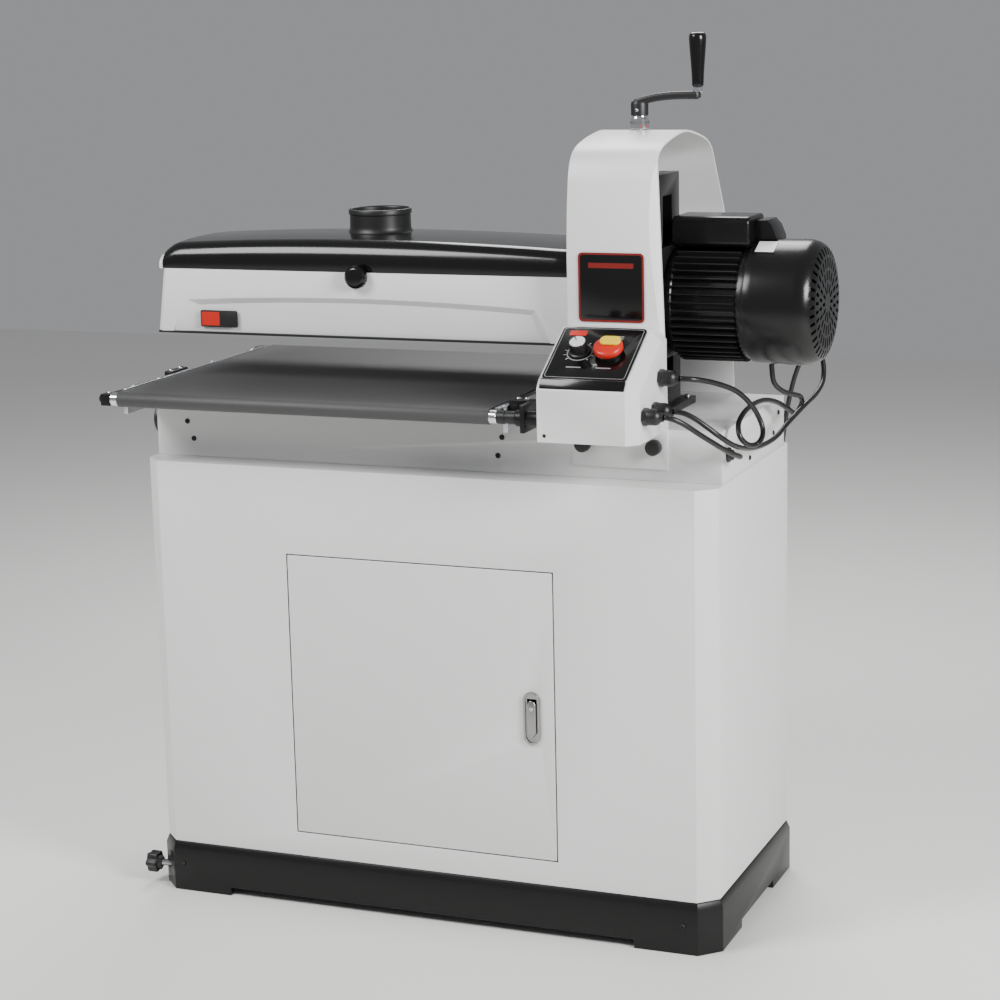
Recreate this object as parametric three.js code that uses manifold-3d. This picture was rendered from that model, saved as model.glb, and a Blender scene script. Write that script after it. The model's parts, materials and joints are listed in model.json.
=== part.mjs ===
// A 25 inch open-ended drum sander on a closed cabinet stand.
// Millimetres, +Z up, +X towards the motor, -Y towards the operator.
// The inner group's origin is on the floor under the middle of the cabinet; the exported group's
// origin is on the floor under the middle of the whole machine.
import * as THREE from 'three';
import { mergeVertices } from 'three/addons/utils/BufferGeometryUtils.js';
import Module from 'manifold-3d';

const wasm = await Module();
wasm.setup();

// ---- driving dimensions -------------------------------------------------------------------
const CLEAR = 0.3;                    // gap between two pieces that touch
const SHIFT = { x: -41, y: 28 };      // cabinet middle to machine middle

const CABINET = { width: 1000, depth: 458, top: 755, chamfer: 30, sheet: 3 };
const PLINTH = { height: 86.5, margin: 5, rimDrop: 13, sheet: 5, footLength: 135, footLift: 14 };
const DOOR = { left: -233, right: 233.5, bottom: 130, top: 608.5, gap: 2, thick: 20, sheet: 3 };
const LOCK = { y: -212, z: 37, rod: 5.5 };
const LATCH = { x: 196, z: 368, halfWidth: 14, halfHeight: 44, thick: 4 };

const BASE = { left: -497, right: 497, front: -172, back: 187, top: 838, sheet: 5 };
const DIAL_WHEEL = { y: -119, z: 808 };
const FEED_ENTRY = { y: -140, z: 797 };
const HOOD = { left: 248, right: 411, front: -175.3, back: 187, apronBottom: 774, sheet: 3 };
const BOX = { left: 251, right: 410, front: -325, panelFront: -316, panelBack: -205, bevel: 17.5 };
const KNOB = { leftX: 274, rightX: 391, z: 811.5 };
const BOX_Z = { bottom: 838.3, brow: 919, panelLow: 932, panelHigh: 998 };

const BELT = {
  left: -498.5, right: 160, thick: 1.5, rollerRadius: 11, axisZ: 867.5, front: -288, back: 262,
};
const RAIL = { left: -508, right: 178, wide: 8, bottom: 838.3, top: 881, front: -262, back: 236 };

const DRUM = { radius: 63.5, length: 635, middleX: -166, axisY: 0, axisZ: 1020, shaftRadius: 12.5 };
const ARM = { left: -505, right: 238, halfDepth: 141, bottom: 962, seam: 1067, sheet: 4, draft: 12 };
const SCREW = { x: 311, y: 0, radius: 8, bottom: 1078 };
const COLUMN = { left: 324, right: 356, halfDepth: 62, top: 1220, slotHalf: 24 };
const MOTOR = { left: 372.3, coverLeft: 507, right: 619, radius: 92, finTip: 97, coverRadius: 99.5 };
const COVER_KNOB = { x: -129, z: 1061 };
const PORT = { x: -149, y: 0, outer: 51, wall: 3, lip: 2, top: 1160 };
const RECESS = { low: 955, high: 1016, crown: 1036, left: -478, right: 209, slope: 0.46, band: 16 };
const CRANK = { reach: 97, hubBottom: 1312, armLow: 1336, gripBottom: 1357.3, gripTop: 1441 };
const COUPLING_END = 203.7;
const CORD = { lead: 4.2, mains: 4.2 };

// ---- colours ------------------------------------------------------------------------------
function paint(color, roughness, metalness) {
  return new THREE.MeshStandardMaterial({ color, roughness, metalness });
}

const white = () => paint(0xd9dad6, 0.45, 0.1);
const black = () => paint(0x0d0d0e, 0.45, 0.1);
const steel = () => paint(0xb9bcc0, 0.3, 1);
const chrome = () => paint(0xe2e4e8, 0.12, 1);
const abrasive = () => paint(0x2c2d2e, 0.95, 0);
const rubber = () => paint(0x101010, 0.7, 0);

// ---- geometry helpers ---------------------------------------------------------------------
function asSolid(shape) {
  if (shape instanceof wasm.Manifold) return shape;
  const bare = shape.clone();
  bare.deleteAttribute('normal');
  bare.deleteAttribute('uv');
  const merged = mergeVertices(bare, 1e-4);
  const vertProperties = new Float32Array(merged.attributes.position.array);
  const triVerts = new Uint32Array(merged.index.array);
  return new wasm.Manifold(new wasm.Mesh({ numProp: 3, vertProperties, triVerts }));
}

function asGeometry(shape) {
  if (!(shape instanceof wasm.Manifold)) return shape;
  const { vertProperties, triVerts } = shape.getMesh();
  const geometry = new THREE.BufferGeometry();
  geometry.setAttribute('position', new THREE.BufferAttribute(new Float32Array(vertProperties), 3));
  geometry.setIndex(new THREE.BufferAttribute(new Uint32Array(triVerts), 1));
  geometry.computeVertexNormals();
  return geometry;
}

const join = (first, ...rest) => rest.reduce((sum, next) => sum.add(asSolid(next)), asSolid(first));
const cut = (first, ...rest) => rest.reduce((left, next) => left.subtract(asSolid(next)), asSolid(first));

function piece(name, shape, material) {
  const mesh = new THREE.Mesh(asGeometry(shape), material);
  mesh.name = name;
  return mesh;
}

function block(x0, x1, y0, y1, z0, z1) {
  const geometry = new THREE.BoxGeometry(x1 - x0, y1 - y0, z1 - z0);
  return geometry.translate((x0 + x1) / 2, (y0 + y1) / 2, (z0 + z1) / 2);
}

const BASES = {
  x: [new THREE.Vector3(0, 1, 0), new THREE.Vector3(0, 0, 1), new THREE.Vector3(1, 0, 0)],
  y: [new THREE.Vector3(0, 0, 1), new THREE.Vector3(1, 0, 0), new THREE.Vector3(0, 1, 0)],
  z: [new THREE.Vector3(1, 0, 0), new THREE.Vector3(0, 1, 0), new THREE.Vector3(0, 0, 1)],
};

// A flat outline pushed along an axis: its points are (y, z) along x, (z, x) along y, (x, y) along z.
function pushed(axis, outline, from, to) {
  const flat = ([u, v]) => new THREE.Vector2(u, v);
  const shape = outline instanceof THREE.Shape ? outline : new THREE.Shape(outline.map(flat));
  const options = { depth: to - from, bevelEnabled: false, curveSegments: 10 };
  const geometry = new THREE.ExtrudeGeometry(shape, options);
  geometry.translate(0, 0, from);
  return geometry.applyMatrix4(new THREE.Matrix4().makeBasis(...BASES[axis]));
}

// A profile of (radius, height) turned about an axis through a point.
function turned(axis, profile, at, sides = 20) {
  const geometry = new THREE.LatheGeometry(profile.map(([r, h]) => new THREE.Vector2(r, h)), sides);
  geometry.rotateX(Math.PI / 2);
  geometry.applyMatrix4(new THREE.Matrix4().makeBasis(...BASES[axis]));
  return geometry.translate(...at);
}

const AT = { x: (u, v) => [0, u, v], y: (u, v) => [v, 0, u], z: (u, v) => [u, v, 0] };

// A round bar along an axis; (u, v) is where its axis passes, in the order that pushed() uses.
function bar(axis, radius, from, to, u, v, sides = 20) {
  return turned(axis, [[0, from], [radius, from], [radius, to], [0, to]], AT[axis](u, v), sides);
}

function chamfered(halfWidth, halfDepth, chamfer) {
  const x = halfWidth;
  const y = halfDepth;
  const c = chamfer;
  return [
    [-x + c, -y], [x - c, -y], [x, -y + c], [x, y - c],
    [x - c, y], [-x + c, y], [-x, y - c], [-x, -y + c],
  ];
}

// Turns a closed shape's faces outwards if they point inwards.
function facingOut(geometry) {
  const { array } = geometry.attributes.position;
  const index = geometry.index.array;
  const corner = (i) => new THREE.Vector3(array[3 * i], array[3 * i + 1], array[3 * i + 2]);
  let volume = 0;
  for (let i = 0; i < index.length; i += 3) {
    volume += corner(index[i]).dot(corner(index[i + 1]).cross(corner(index[i + 2])));
  }
  if (volume < 0) index.reverse();
  return geometry;
}

// A closed wall lofted through rings of points that all have the same number of points.
function lofted(rings) {
  const count = rings[0].length;
  const positions = rings.flat(2);
  const index = [];
  for (let r = 0; r + 1 < rings.length; r += 1) {
    for (let i = 0; i < count; i += 1) {
      const a = r * count + i;
      const b = r * count + (i + 1) % count;
      index.push(a, b, b + count, a, b + count, a + count);
    }
  }
  const last = (rings.length - 1) * count;
  for (let i = 1; i + 1 < count; i += 1) {
    index.push(0, i + 1, i, last, last + i, last + i + 1);
  }
  const geometry = new THREE.BufferGeometry();
  geometry.setAttribute('position', new THREE.Float32BufferAttribute(positions, 3));
  geometry.setIndex(index);
  return facingOut(geometry);
}

const level = (outline, z) => outline.map(([x, y]) => [x, y, z]);

function tube(points, radius, steps, sides = 8) {
  const path = new THREE.CatmullRomCurve3(points.map((p) => new THREE.Vector3(...p)), false, 'centripetal');
  const ring = [];
  for (let i = 0; i < sides; i += 1) {
    const angle = (2 * Math.PI * i) / sides;
    ring.push(new THREE.Vector2(radius * Math.cos(angle), radius * Math.sin(angle)));
  }
  const options = { steps, bevelEnabled: false, extrudePath: path };
  return new THREE.ExtrudeGeometry(new THREE.Shape(ring), options);
}

// ---- stand --------------------------------------------------------------------------------
function plinth() {
  const halfWidth = CABINET.width / 2;
  const halfDepth = CABINET.depth / 2;
  const { height, margin, rimDrop, sheet, footLength, footLift } = PLINTH;
  const wide = chamfered(halfWidth + margin, halfDepth + margin, CABINET.chamfer + margin / 2);
  const narrow = chamfered(halfWidth, halfDepth, CABINET.chamfer);
  const shell = lofted([level(wide, 0), level(wide, height - rimDrop), level(narrow, height)]);
  const within = chamfered(halfWidth - sheet, halfDepth - sheet, CABINET.chamfer);
  const inside = pushed('z', within, -1, height - sheet);
  const front = block(-halfWidth + footLength, halfWidth - footLength, -400, 400, -1, footLift);
  const side = block(-700, 700, -halfDepth + footLength, halfDepth - footLength, -1, footLift);
  const screwHole = bar('x', LOCK.rod + CLEAR, -halfWidth - 20, -halfWidth + 60, LOCK.y, LOCK.z, 12);
  return piece('plinth', cut(shell, inside, front, side, screwHole), black());
}

function cabinetBody() {
  const { width, depth, top, chamfer, sheet } = CABINET;
  const bottom = PLINTH.height + CLEAR;
  const outer = pushed('z', chamfered(width / 2, depth / 2, chamfer), bottom, top);
  const within = chamfered(width / 2 - sheet, depth / 2 - sheet, chamfer - 1);
  const inner = pushed('z', within, bottom + sheet, top - sheet);
  const { left, right, gap } = DOOR;
  const front = -depth / 2;
  const doorway = block(left - gap, right + gap, front - 5, front + 10, DOOR.bottom - gap, DOOR.top + gap);
  return piece('cabinet_body', cut(outer, inner, doorway), white());
}

function doorPanel() {
  const front = -CABINET.depth / 2;
  const { left, right, bottom, top, thick, sheet } = DOOR;
  const pan = block(left, right, front, front + thick, bottom, top);
  const hollow = block(
    left + sheet, right - sheet, front + sheet, front + thick + 5, bottom + sheet, top - sheet,
  );
  const { x, z } = LATCH;
  const halfWidth = LATCH.halfWidth - 4;
  const halfHeight = LATCH.halfHeight - 8;
  const window = block(
    x - halfWidth, x + halfWidth, front - 5, front + 10, z - halfHeight, z + halfHeight,
  );
  return piece('door_panel', cut(pan, hollow, window), white());
}

function doorHinge() {
  const front = -CABINET.depth / 2;
  const y = front + DOOR.thick + 6;
  const length = [DOOR.bottom + 30, DOOR.top - 30];
  const knuckle = bar('z', 5, ...length, DOOR.left - 8, y, 12);
  const leafFront = front + CABINET.sheet + CLEAR;
  const leaf = block(DOOR.left - 40, DOOR.left - 8, leafFront, leafFront + 2.7, ...length);
  const web = block(DOOR.left - 11, DOOR.left - 8, leafFront, y, ...length);
  return piece('door_hinge', join(knuckle, leaf, web), steel());
}

function stadium(halfWidth, halfHeight) {
  const shape = new THREE.Shape();
  const straight = halfHeight - halfWidth;
  shape.absarc(0, straight, halfWidth, 0, Math.PI, false);
  shape.absarc(0, -straight, halfWidth, Math.PI, 2 * Math.PI, false);
  return shape.getPoints(8).slice(0, -1).map((p) => [p.y, p.x]).reverse();
}

function latch() {
  const front = -CABINET.depth / 2;
  const { x, z, halfWidth, halfHeight, thick } = LATCH;
  const rim = pushed('y', stadium(halfWidth, halfHeight), front - thick, front - CLEAR);
  const plug = pushed('y', stadium(halfWidth - 5, halfHeight - 9), front - 1, front + 14);
  const well = pushed('y', stadium(halfWidth - 7, halfHeight - 11), front - 20, front + 12);
  const plate = cut(join(rim, plug), well).translate(x, 0, z);
  const lever = pushed('y', stadium(halfWidth - 8, halfHeight - 13), front - thick - 1.5, front + 2);
  return [piece('latch_plate', plate, chrome()), piece('latch_lever', lever.translate(x, 0, z), chrome())];
}

function lockKnob() {
  const { y, z, rod } = LOCK;
  const profile = [
    [0, -535], [10, -535], [17, -532], [19, -526], [19, -514], [12, -509], [8, -508], [0, -508],
  ];
  const knob = turned('x', profile, [0, y, z], 24);
  return piece('lock_knob', join(knob, bar('x', rod, -509, -452, y, z, 12)), black());
}

// ---- machine base and conveyor ------------------------------------------------------------
function machineBase() {
  const { left, right, front, back, top, sheet } = BASE;
  const bottom = CABINET.top + CLEAR;
  const outer = block(left, right, front, back, bottom, top);
  const inner = block(left + sheet, right - sheet, front + sheet, back - sheet, bottom - 1, top - sheet);
  const dialHole = bar('x', 6.3, left - 5, left + 20, DIAL_WHEEL.y, DIAL_WHEEL.z, 12);
  const leadHole = bar('x', 8, right - 20, right + 5, FEED_ENTRY.y, FEED_ENTRY.z, 12);
  const knobHole = (x) => bar('y', 4.4, front - 5, front + 20, KNOB.z, x, 12);
  const knobHoles = [KNOB.leftX, KNOB.rightX].map(knobHole);
  return piece('machine_base', cut(outer, inner, dialHole, leadHole, ...knobHoles), white());
}

function parallelismDial() {
  const { y, z } = DIAL_WHEEL;
  const profile = [[0, -520], [26, -520], [29, -517], [29, -501], [26, -498], [0, -498]];
  const wheel = turned('x', profile, [0, y, z], 32);
  return piece('parallelism_dial', join(wheel, bar('x', 6, -500, -470, y, z, 12)), black());
}

function conveyorBed() {
  const high = BELT.axisZ + BELT.rollerRadius - CLEAR;
  const left = RAIL.left + RAIL.wide + CLEAR;
  const right = RAIL.right - RAIL.wide - CLEAR;
  const plate = block(left, right, -270, 244, high - 18, high);
  return piece('conveyor_bed', plate, steel());
}

function bedRails() {
  const { left, right, wide, bottom, top, front, back } = RAIL;
  const plate = block(left, left + wide, front, back, bottom, top);
  const bars = [-120, 120].map((y) => block(left, right - wide - CLEAR, y - 15, y + 15, bottom, 853));
  const leftRail = piece('bed_rail_left', join(plate, ...bars), steel());
  return [leftRail, piece('bed_rail_right', block(right - wide, right, front, back, bottom, top), steel())];
}

function conveyorBelt() {
  const { left, right, thick, rollerRadius, axisZ, front, back } = BELT;
  const loop = (radius) => {
    const shape = new THREE.Shape();
    shape.absarc(front, axisZ, radius, Math.PI / 2, Math.PI * 1.5, false);
    shape.absarc(back, axisZ, radius, -Math.PI / 2, Math.PI / 2, false);
    return shape;
  };
  const outer = pushed('x', loop(rollerRadius + thick), left, right);
  const inner = pushed('x', loop(rollerRadius + CLEAR), left - 1, right + 1);
  return piece('conveyor_belt', cut(outer, inner), abrasive());
}

function conveyorRoller(name, y, shaftEnd) {
  const { left, right, rollerRadius, axisZ } = BELT;
  const core = bar('x', rollerRadius, left - 13.5, right + 12, y, axisZ, 24);
  return piece(name, join(core, bar('x', 5, left - 24, shaftEnd, y, axisZ, 16)), steel());
}

// A bearing block on a roller's end with an arm that slides along its rail.
function takeUp(name, y, towardMiddle, [x0, x1], [armX0, armX1]) {
  const z = BELT.axisZ;
  const slab = (xs, from, to, low) => {
    const ends = [y + towardMiddle * from, y + towardMiddle * to];
    return block(...xs, Math.min(...ends), Math.max(...ends), z - low, z + 9);
  };
  const head = slab([x0, x1], -10, 12, 10);
  const arm = slab([armX0, armX1], 11.7, 62, 9);
  return piece(name, cut(join(head, arm), bar('x', 5.3, x0 - 1, x1 + 1, y, z, 16)), black());
}

function takeUps() {
  const { left, right, front, back } = BELT;
  const leftHead = [left - 30, left - 13.8];
  const rightHead = [right + 12.3, right + 29];
  const leftArm = [RAIL.left - 12, RAIL.left - CLEAR];
  const rightArm = [RAIL.right + CLEAR, RAIL.right + 12];
  return [
    takeUp('take_up_front_left', front, 1, leftHead, leftArm),
    takeUp('take_up_rear_left', back, -1, leftHead, leftArm),
    takeUp('take_up_rear_right', back, -1, rightHead, rightArm),
  ];
}

function driveCoupling() {
  const { right, front, axisZ } = BELT;
  const sleeve = bar('x', 10.5, right + 12.3, COUPLING_END, front, axisZ, 24);
  const bore = bar('x', 5.3, right - 10, COUPLING_END + 5, front, axisZ, 16);
  return piece('drive_coupling', cut(sleeve, bore), black());
}

// The feed motor sits inside the control box; its nose comes out through the box's left wall.
function gearMotor() {
  const { front, axisZ } = BELT;
  const motor = bar('x', 25, 257, 396, front, axisZ, 28);
  const nose = bar('x', 13, COUPLING_END + CLEAR, 260, front, axisZ, 24);
  const plate = block(214, 222, front - 15, -240, 846, 890);
  const bracket = block(RAIL.right + CLEAR, 222, -256, -240, 858, 890);
  const bore = bar('x', 5.3, 200, 236, front, axisZ, 16);
  return piece('gear_motor', cut(join(motor, nose, plate, bracket), bore), black());
}

// ---- tower --------------------------------------------------------------------------------
// The hood's side outline from its front foot over the crown to its back foot, as (y, z).
function hoodOutline(inset) {
  const crown = [
    [-175, 1100], [-168, 1200], [-160, 1240], [-148, 1260], [-128, 1270], [-95, 1279], [-50, 1286],
    [0, 1289.5], [67, 1278], [111, 1267], [133, 1252], [150, 1218], [184, 1143], [187, 1050],
  ];
  const middle = 1080;
  const shrink = ([y, z]) => {
    const scale = 1 - inset / Math.hypot(y, z - middle);
    return [y * scale, middle + (z - middle) * scale];
  };
  const foot = BASE.top + CLEAR - inset;
  return [[HOOD.front + inset, foot], [HOOD.back - inset, foot], ...crown.map(shrink).reverse()];
}

// What is taken off the hood's front right corner: a bevel that widens upwards.
function hoodCorner(x, y) {
  const low = [[405.7 + x, -180 + y], [430 + x, -180 + y], [430 + x, -159 + y]];
  const high = [[357 + x, -180 + y], [430 + x, -180 + y], [430 + x, -117 + y]];
  return lofted([level(low, 890), level(high, 1300)]);
}

function towerCover() {
  const { left, right, front, sheet, apronBottom } = HOOD;
  const outer = cut(pushed('x', hoodOutline(0), left, right), hoodCorner(0, 0));
  const inner = cut(pushed('x', hoodOutline(sheet), left + sheet, right + 5), hoodCorner(-3, 3));
  const lean = pushed('y', [[863, right], [1300, right - 23], [1300, 500], [863, 500]], -300, 300);
  const neckSlot = block(left - 5, left + 8, -57, 57, 890, 1080);
  const screwHole = bar('z', 13, 1200, 1320, SCREW.x, SCREW.y, 20);
  const apron = block(left + sheet, right, front, front + sheet, apronBottom, 900);
  const knobHole = (x) => bar('y', 4.4, -190, -160, KNOB.z, x, 12);
  const holes = [neckSlot, screwHole, ...[KNOB.leftX, KNOB.rightX].map(knobHole)];
  return piece('tower_cover', cut(join(cut(outer, inner), apron), lean, ...holes), white());
}

function column() {
  const { left, right, halfDepth, top, slotHalf } = COLUMN;
  const plate = block(left, right, -halfDepth, halfDepth, BASE.top + CLEAR, top);
  const foot = block(left - 30, right + 20, -halfDepth - 20, halfDepth + 20, BASE.top + CLEAR, 850);
  const cap = block(290, right, -30, 30, top - 14, top);
  const slot = block(left - 5, right + 5, -slotHalf, slotHalf, 900, 1186);
  const screwHole = bar('z', SCREW.radius + CLEAR, top - 20, top + 5, SCREW.x, SCREW.y, 20);
  return piece('column', cut(join(plate, foot, cap), slot, screwHole), black());
}

function headCarriage() {
  const { left, right, slotHalf } = COLUMN;
  const neck = block(ARM.right + CLEAR, 270, -50, 50, 975, 1045);
  const saddle = block(264, left - CLEAR, -60, 60, 965, 1062);
  const nut = block(296, left - CLEAR, -20, 20, 1060, 1175);
  const tongue = block(left - 5, right + 5, -slotHalf + CLEAR, slotHalf - CLEAR, 985, 1056);
  const flange = block(right + CLEAR, MOTOR.left - CLEAR, -88, 88, 932, 1108);
  const shaftBore = bar('x', 14, 200, 400, DRUM.axisY, DRUM.axisZ, 24);
  const screwBore = bar('z', 8.4, 1050, 1200, SCREW.x, SCREW.y, 24);
  const casting = join(neck, saddle, nut, tongue, flange);
  return piece('head_carriage', cut(casting, shaftBore, screwBore), black());
}

function leadScrew() {
  const screw = bar('z', SCREW.radius, SCREW.bottom, 1332, SCREW.x, SCREW.y, 20);
  return piece('lead_screw', screw, steel());
}

function heightDial() {
  const low = 1291;
  const high = CRANK.hubBottom - CLEAR;
  const profile = [[8.3, low], [15, low], [15, 1309], [13, high], [8.3, high], [8.3, low]];
  return piece('height_dial', turned('z', profile, [SCREW.x, SCREW.y, 0], 28), chrome());
}

// The crank arm seen from the front, as (z, x): a bar that rises from the hub and levels off.
function armOutline(end) {
  const curve = (...corners) => new THREE.QuadraticBezierCurve(
    ...corners.map(([z, x]) => new THREE.Vector2(z, x)),
  ).getPoints(8);
  const top = curve([1338, SCREW.x - 13], [1350, SCREW.x + 38], [1350, end]);
  const under = curve([1337, end], [1337, SCREW.x + 45], [1326, SCREW.x + 13]);
  const start = new THREE.Vector2(1326, SCREW.x - 13);
  return [start, ...top, ...under].map(({ x: z, y: x }) => [z, x]);
}

function crankArm(end) {
  const hub = bar('z', 14, CRANK.hubBottom, 1333, SCREW.x, SCREW.y, 28);
  const arm = pushed('y', armOutline(end), -8, 8);
  const boss = bar('z', 9, 1336.5, 1350, end, SCREW.y, 24);
  const pin = bar('z', 4, 1340, 1420, end, SCREW.y, 12);
  const bore = bar('z', SCREW.radius + CLEAR, 1300, 1332.5, SCREW.x, SCREW.y, 20);
  return piece('crank_arm', cut(join(hub, arm, boss, pin), bore), black());
}

function crankGrip(end) {
  const { gripBottom: low, gripTop: high } = CRANK;
  const bore = 4.3;
  const profile = [
    [bore, low], [8.5, low], [9.5, 1362], [11, 1390], [13, 1420], [13.8, 1434], [12, 1439.5],
    [9, high], [0, high], [0, high - 16], [bore, high - 16], [bore, low],
  ];
  return piece('crank_grip', turned('z', profile, [end, SCREW.y, 0], 20), black());
}

function crank() {
  const end = SCREW.x + CRANK.reach;
  return [leadScrew(), heightDial(), crankArm(end), crankGrip(end)];
}

// ---- drum head ----------------------------------------------------------------------------
// The cover's cross-section as (y, z): upright front, rounded brow, flat crown and a rounded back.
function coverSection(rise, inset) {
  const depth = ARM.halfDepth - 4 - inset;
  const base = ARM.seam;
  const low = base + 22 + rise * 0.4;
  const top = base + 48 + rise - inset;
  return [
    [depth, base], [depth, low], [depth - 14, top - 20], [depth - 40, top - 8], [40, top - 1], [-30, top],
    [-depth + 45, top - 2], [-depth + 18, top - 8], [-depth + 5, low + 12], [-depth, low], [-depth, base],
  ];
}

function coverBody(inset) {
  const rings = [];
  const stations = 8;
  const left = ARM.left + 13.3 + inset;
  const right = ARM.right - 2 - inset;
  for (let i = 0; i <= stations; i += 1) {
    const share = i / stations;
    const crown = 4 * share * (1 - share);
    const x = left + (right - left) * share;
    rings.push(coverSection(-12 + 18 * crown, inset).map(([y, z]) => [x, y, z]));
  }
  return lofted(rings);
}

function dustCover() {
  const outer = coverBody(0);
  const inner = asSolid(coverBody(4)).translate(0, 0, -0.5);
  const opening = bar('z', PORT.outer - PORT.wall - 1, 1040, 1200, PORT.x, PORT.y, 32);
  return piece('dust_cover', cut(outer, inner, opening).translate(0, 0, CLEAR), black());
}

function dustPort() {
  const r = PORT.outer;
  const inner = r - PORT.wall;
  const low = 1120;
  const { x, y, top, lip } = PORT;
  const profile = [
    [inner, low], [r, low], [r, top - 6], [r + lip, top - 4], [r + lip, top], [inner, top], [inner, low],
  ];
  const neck = turned('z', profile, [x, y, 0], 32);
  const disc = bar('z', r + 7, low - 20, low + 4, x, y, 32);
  const flange = cut(disc, bar('z', inner, low - 30, low + 10, x, y, 32));
  const under = asSolid(coverBody(0)).translate(0, 0, 2 * CLEAR);
  return piece('dust_port', cut(join(neck, flange), under), black());
}

function coverKnob() {
  const back = -138.4;
  const { x, z } = COVER_KNOB;
  const profile = [[0, back - 16], [15, back - 16], [19, back - 12], [19, back - 4], [16, back], [0, back]];
  const knob = turned('y', profile, [x, 0, z], 24);
  return piece('cover_knob', join(knob, bar('y', 4, back - 1, -129, z, x, 12)), black());
}

function drumHousing() {
  const { left, right, halfDepth, bottom, seam, sheet, draft } = ARM;
  const ring = (z, lean) => {
    const depth = halfDepth - lean / 3;
    return level([[left + lean, -depth], [right, -depth], [right, depth], [left + lean, depth]], z);
  };
  const outer = lofted([ring(bottom, 0), ring(seam, draft)]);
  const depth = halfDepth - draft / 3 - sheet;
  const inner = block(left + draft + sheet, right - 6, -depth, depth, bottom - 5, seam + 5);
  const cheek = pushed('x', coverSection(-20, 0), left + 5, left + 13);
  const boss = bar('x', 28, -496, -480, DRUM.axisY, DRUM.axisZ, 24);
  const knobHole = bar('y', 4.4, -150, -125, COVER_KNOB.z, COVER_KNOB.x, 12);
  const shaftHole = bar('x', 14, 200, 260, DRUM.axisY, DRUM.axisZ, 24);
  const blindHole = bar('x', 14, -496, -470, DRUM.axisY, DRUM.axisZ, 24);
  const shell = join(cut(outer, inner), cheek, boss);
  return piece('drum_housing', cut(shell, skirtRecess(), shaftHole, blindHole, knobHole), white());
}

// The shallow band pressed into the front of the skirt: a wide trapezoid with sloped sides.
function skirtRecess() {
  const face = -ARM.halfDepth;
  const { low, high, crown, left, right, slope, band } = RECESS;
  const outline = (inset, y) => {
    const lean = (high - low) * slope;
    const middle = (left + right) / 2;
    const curve = new THREE.QuadraticBezierCurve(
      new THREE.Vector2(left + lean + inset, high - inset * 0.6),
      new THREE.Vector2(middle, crown - inset * 0.6),
      new THREE.Vector2(right - lean - inset, high - inset * 0.6),
    );
    const feet = [new THREE.Vector2(left + inset, low), new THREE.Vector2(right - inset, low)];
    return [feet[0], ...curve.getPoints(6), feet[1]].map(({ x, y: z }) => [x, y, z]);
  };
  return lofted([outline(0, face - 1), outline(band, face + 5)]);
}

function drumParts() {
  const { radius, length, middleX, axisY, axisZ, shaftRadius } = DRUM;
  const left = middleX - length / 2;
  const right = middleX + length / 2;
  const along = (r, from, to) => bar('x', r, from, to, axisY, axisZ, 24);
  const recess = 34;
  const hollows = [along(52, left - 1, left + recess), along(52, right - recess, right + 1)];
  const barrel = bar('x', radius, left, right, axisY, axisZ, 40);
  const drum = cut(barrel, ...hollows, along(shaftRadius + CLEAR, left, right));
  const inner = ARM.right - 6.3;
  const inboard = cut(block(196, inner, -40, 40, 982, 1058), along(shaftRadius + CLEAR, 190, inner + 5));
  const outboard = cut(along(26, -479.7, -466), along(shaftRadius + CLEAR, -490, -460));
  return [
    piece('drum', drum, abrasive()),
    piece('drum_shaft', along(shaftRadius, -494, 590), steel()),
    piece('bearing_inboard', inboard, black()),
    piece('bearing_outboard', outboard, steel()),
  ];
}

function pressureRoller(side, y) {
  const left = DRUM.middleX - DRUM.length / 2;
  const right = DRUM.middleX + DRUM.length / 2;
  const z = DRUM.axisZ - DRUM.radius + 11.5;
  const plateX = [left - 5, ARM.right - 11.5];
  const pin = bar('x', 4, plateX[0] + 1, plateX[1] + 4, y, z, 12);
  const roller = join(bar('x', 11, left + 4, right - 4, y, z, 20), pin);
  const plates = plateX.map((x) => block(x, x + 5, y - 12, y + 12, z - 10, 1046));
  const bridge = block(plateX[0], plateX[1] + 5, y - 12, y + 12, 1040, 1046);
  const holes = bar('x', 4.3, left - 20, ARM.right, y, z, 12);
  return [
    piece(`pressure_roller_${side}`, roller, rubber()),
    piece(`pressure_bracket_${side}`, cut(join(...plates, bridge), holes), steel()),
  ];
}

// ---- motor --------------------------------------------------------------------------------
function motorBody() {
  const { left, coverLeft, radius, finTip } = MOTOR;
  const axis = [0, DRUM.axisY, DRUM.axisZ];
  const bodyEnd = coverLeft - CLEAR;
  const r = radius - 6;
  const profile = [[0, left], [r, left], [r, bodyEnd], [0, bodyEnd]];
  const barrel = turned('x', profile, axis, 32);
  const fins = [];
  const finCount = 28;
  for (let i = 0; i < finCount; i += 1) {
    const fin = new THREE.BoxGeometry(bodyEnd - left - 24, 4, finTip - radius + 10);
    fin.translate((bodyEnd + left + 12) / 2, 0, (finTip + radius - 10) / 2);
    fin.rotateX((2 * Math.PI * (i + 0.5)) / finCount);
    fins.push(fin.translate(...axis));
  }
  const bore = bar('x', DRUM.shaftRadius + 1, left - 5, coverLeft + 5, DRUM.axisY, DRUM.axisZ, 24);
  const seat = block(left - 5, coverLeft + 5, -48, 48, DRUM.axisZ + 88, DRUM.axisZ + 120);
  return piece('motor_body', cut(join(barrel, ...fins), bore, seat), black());
}

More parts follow.
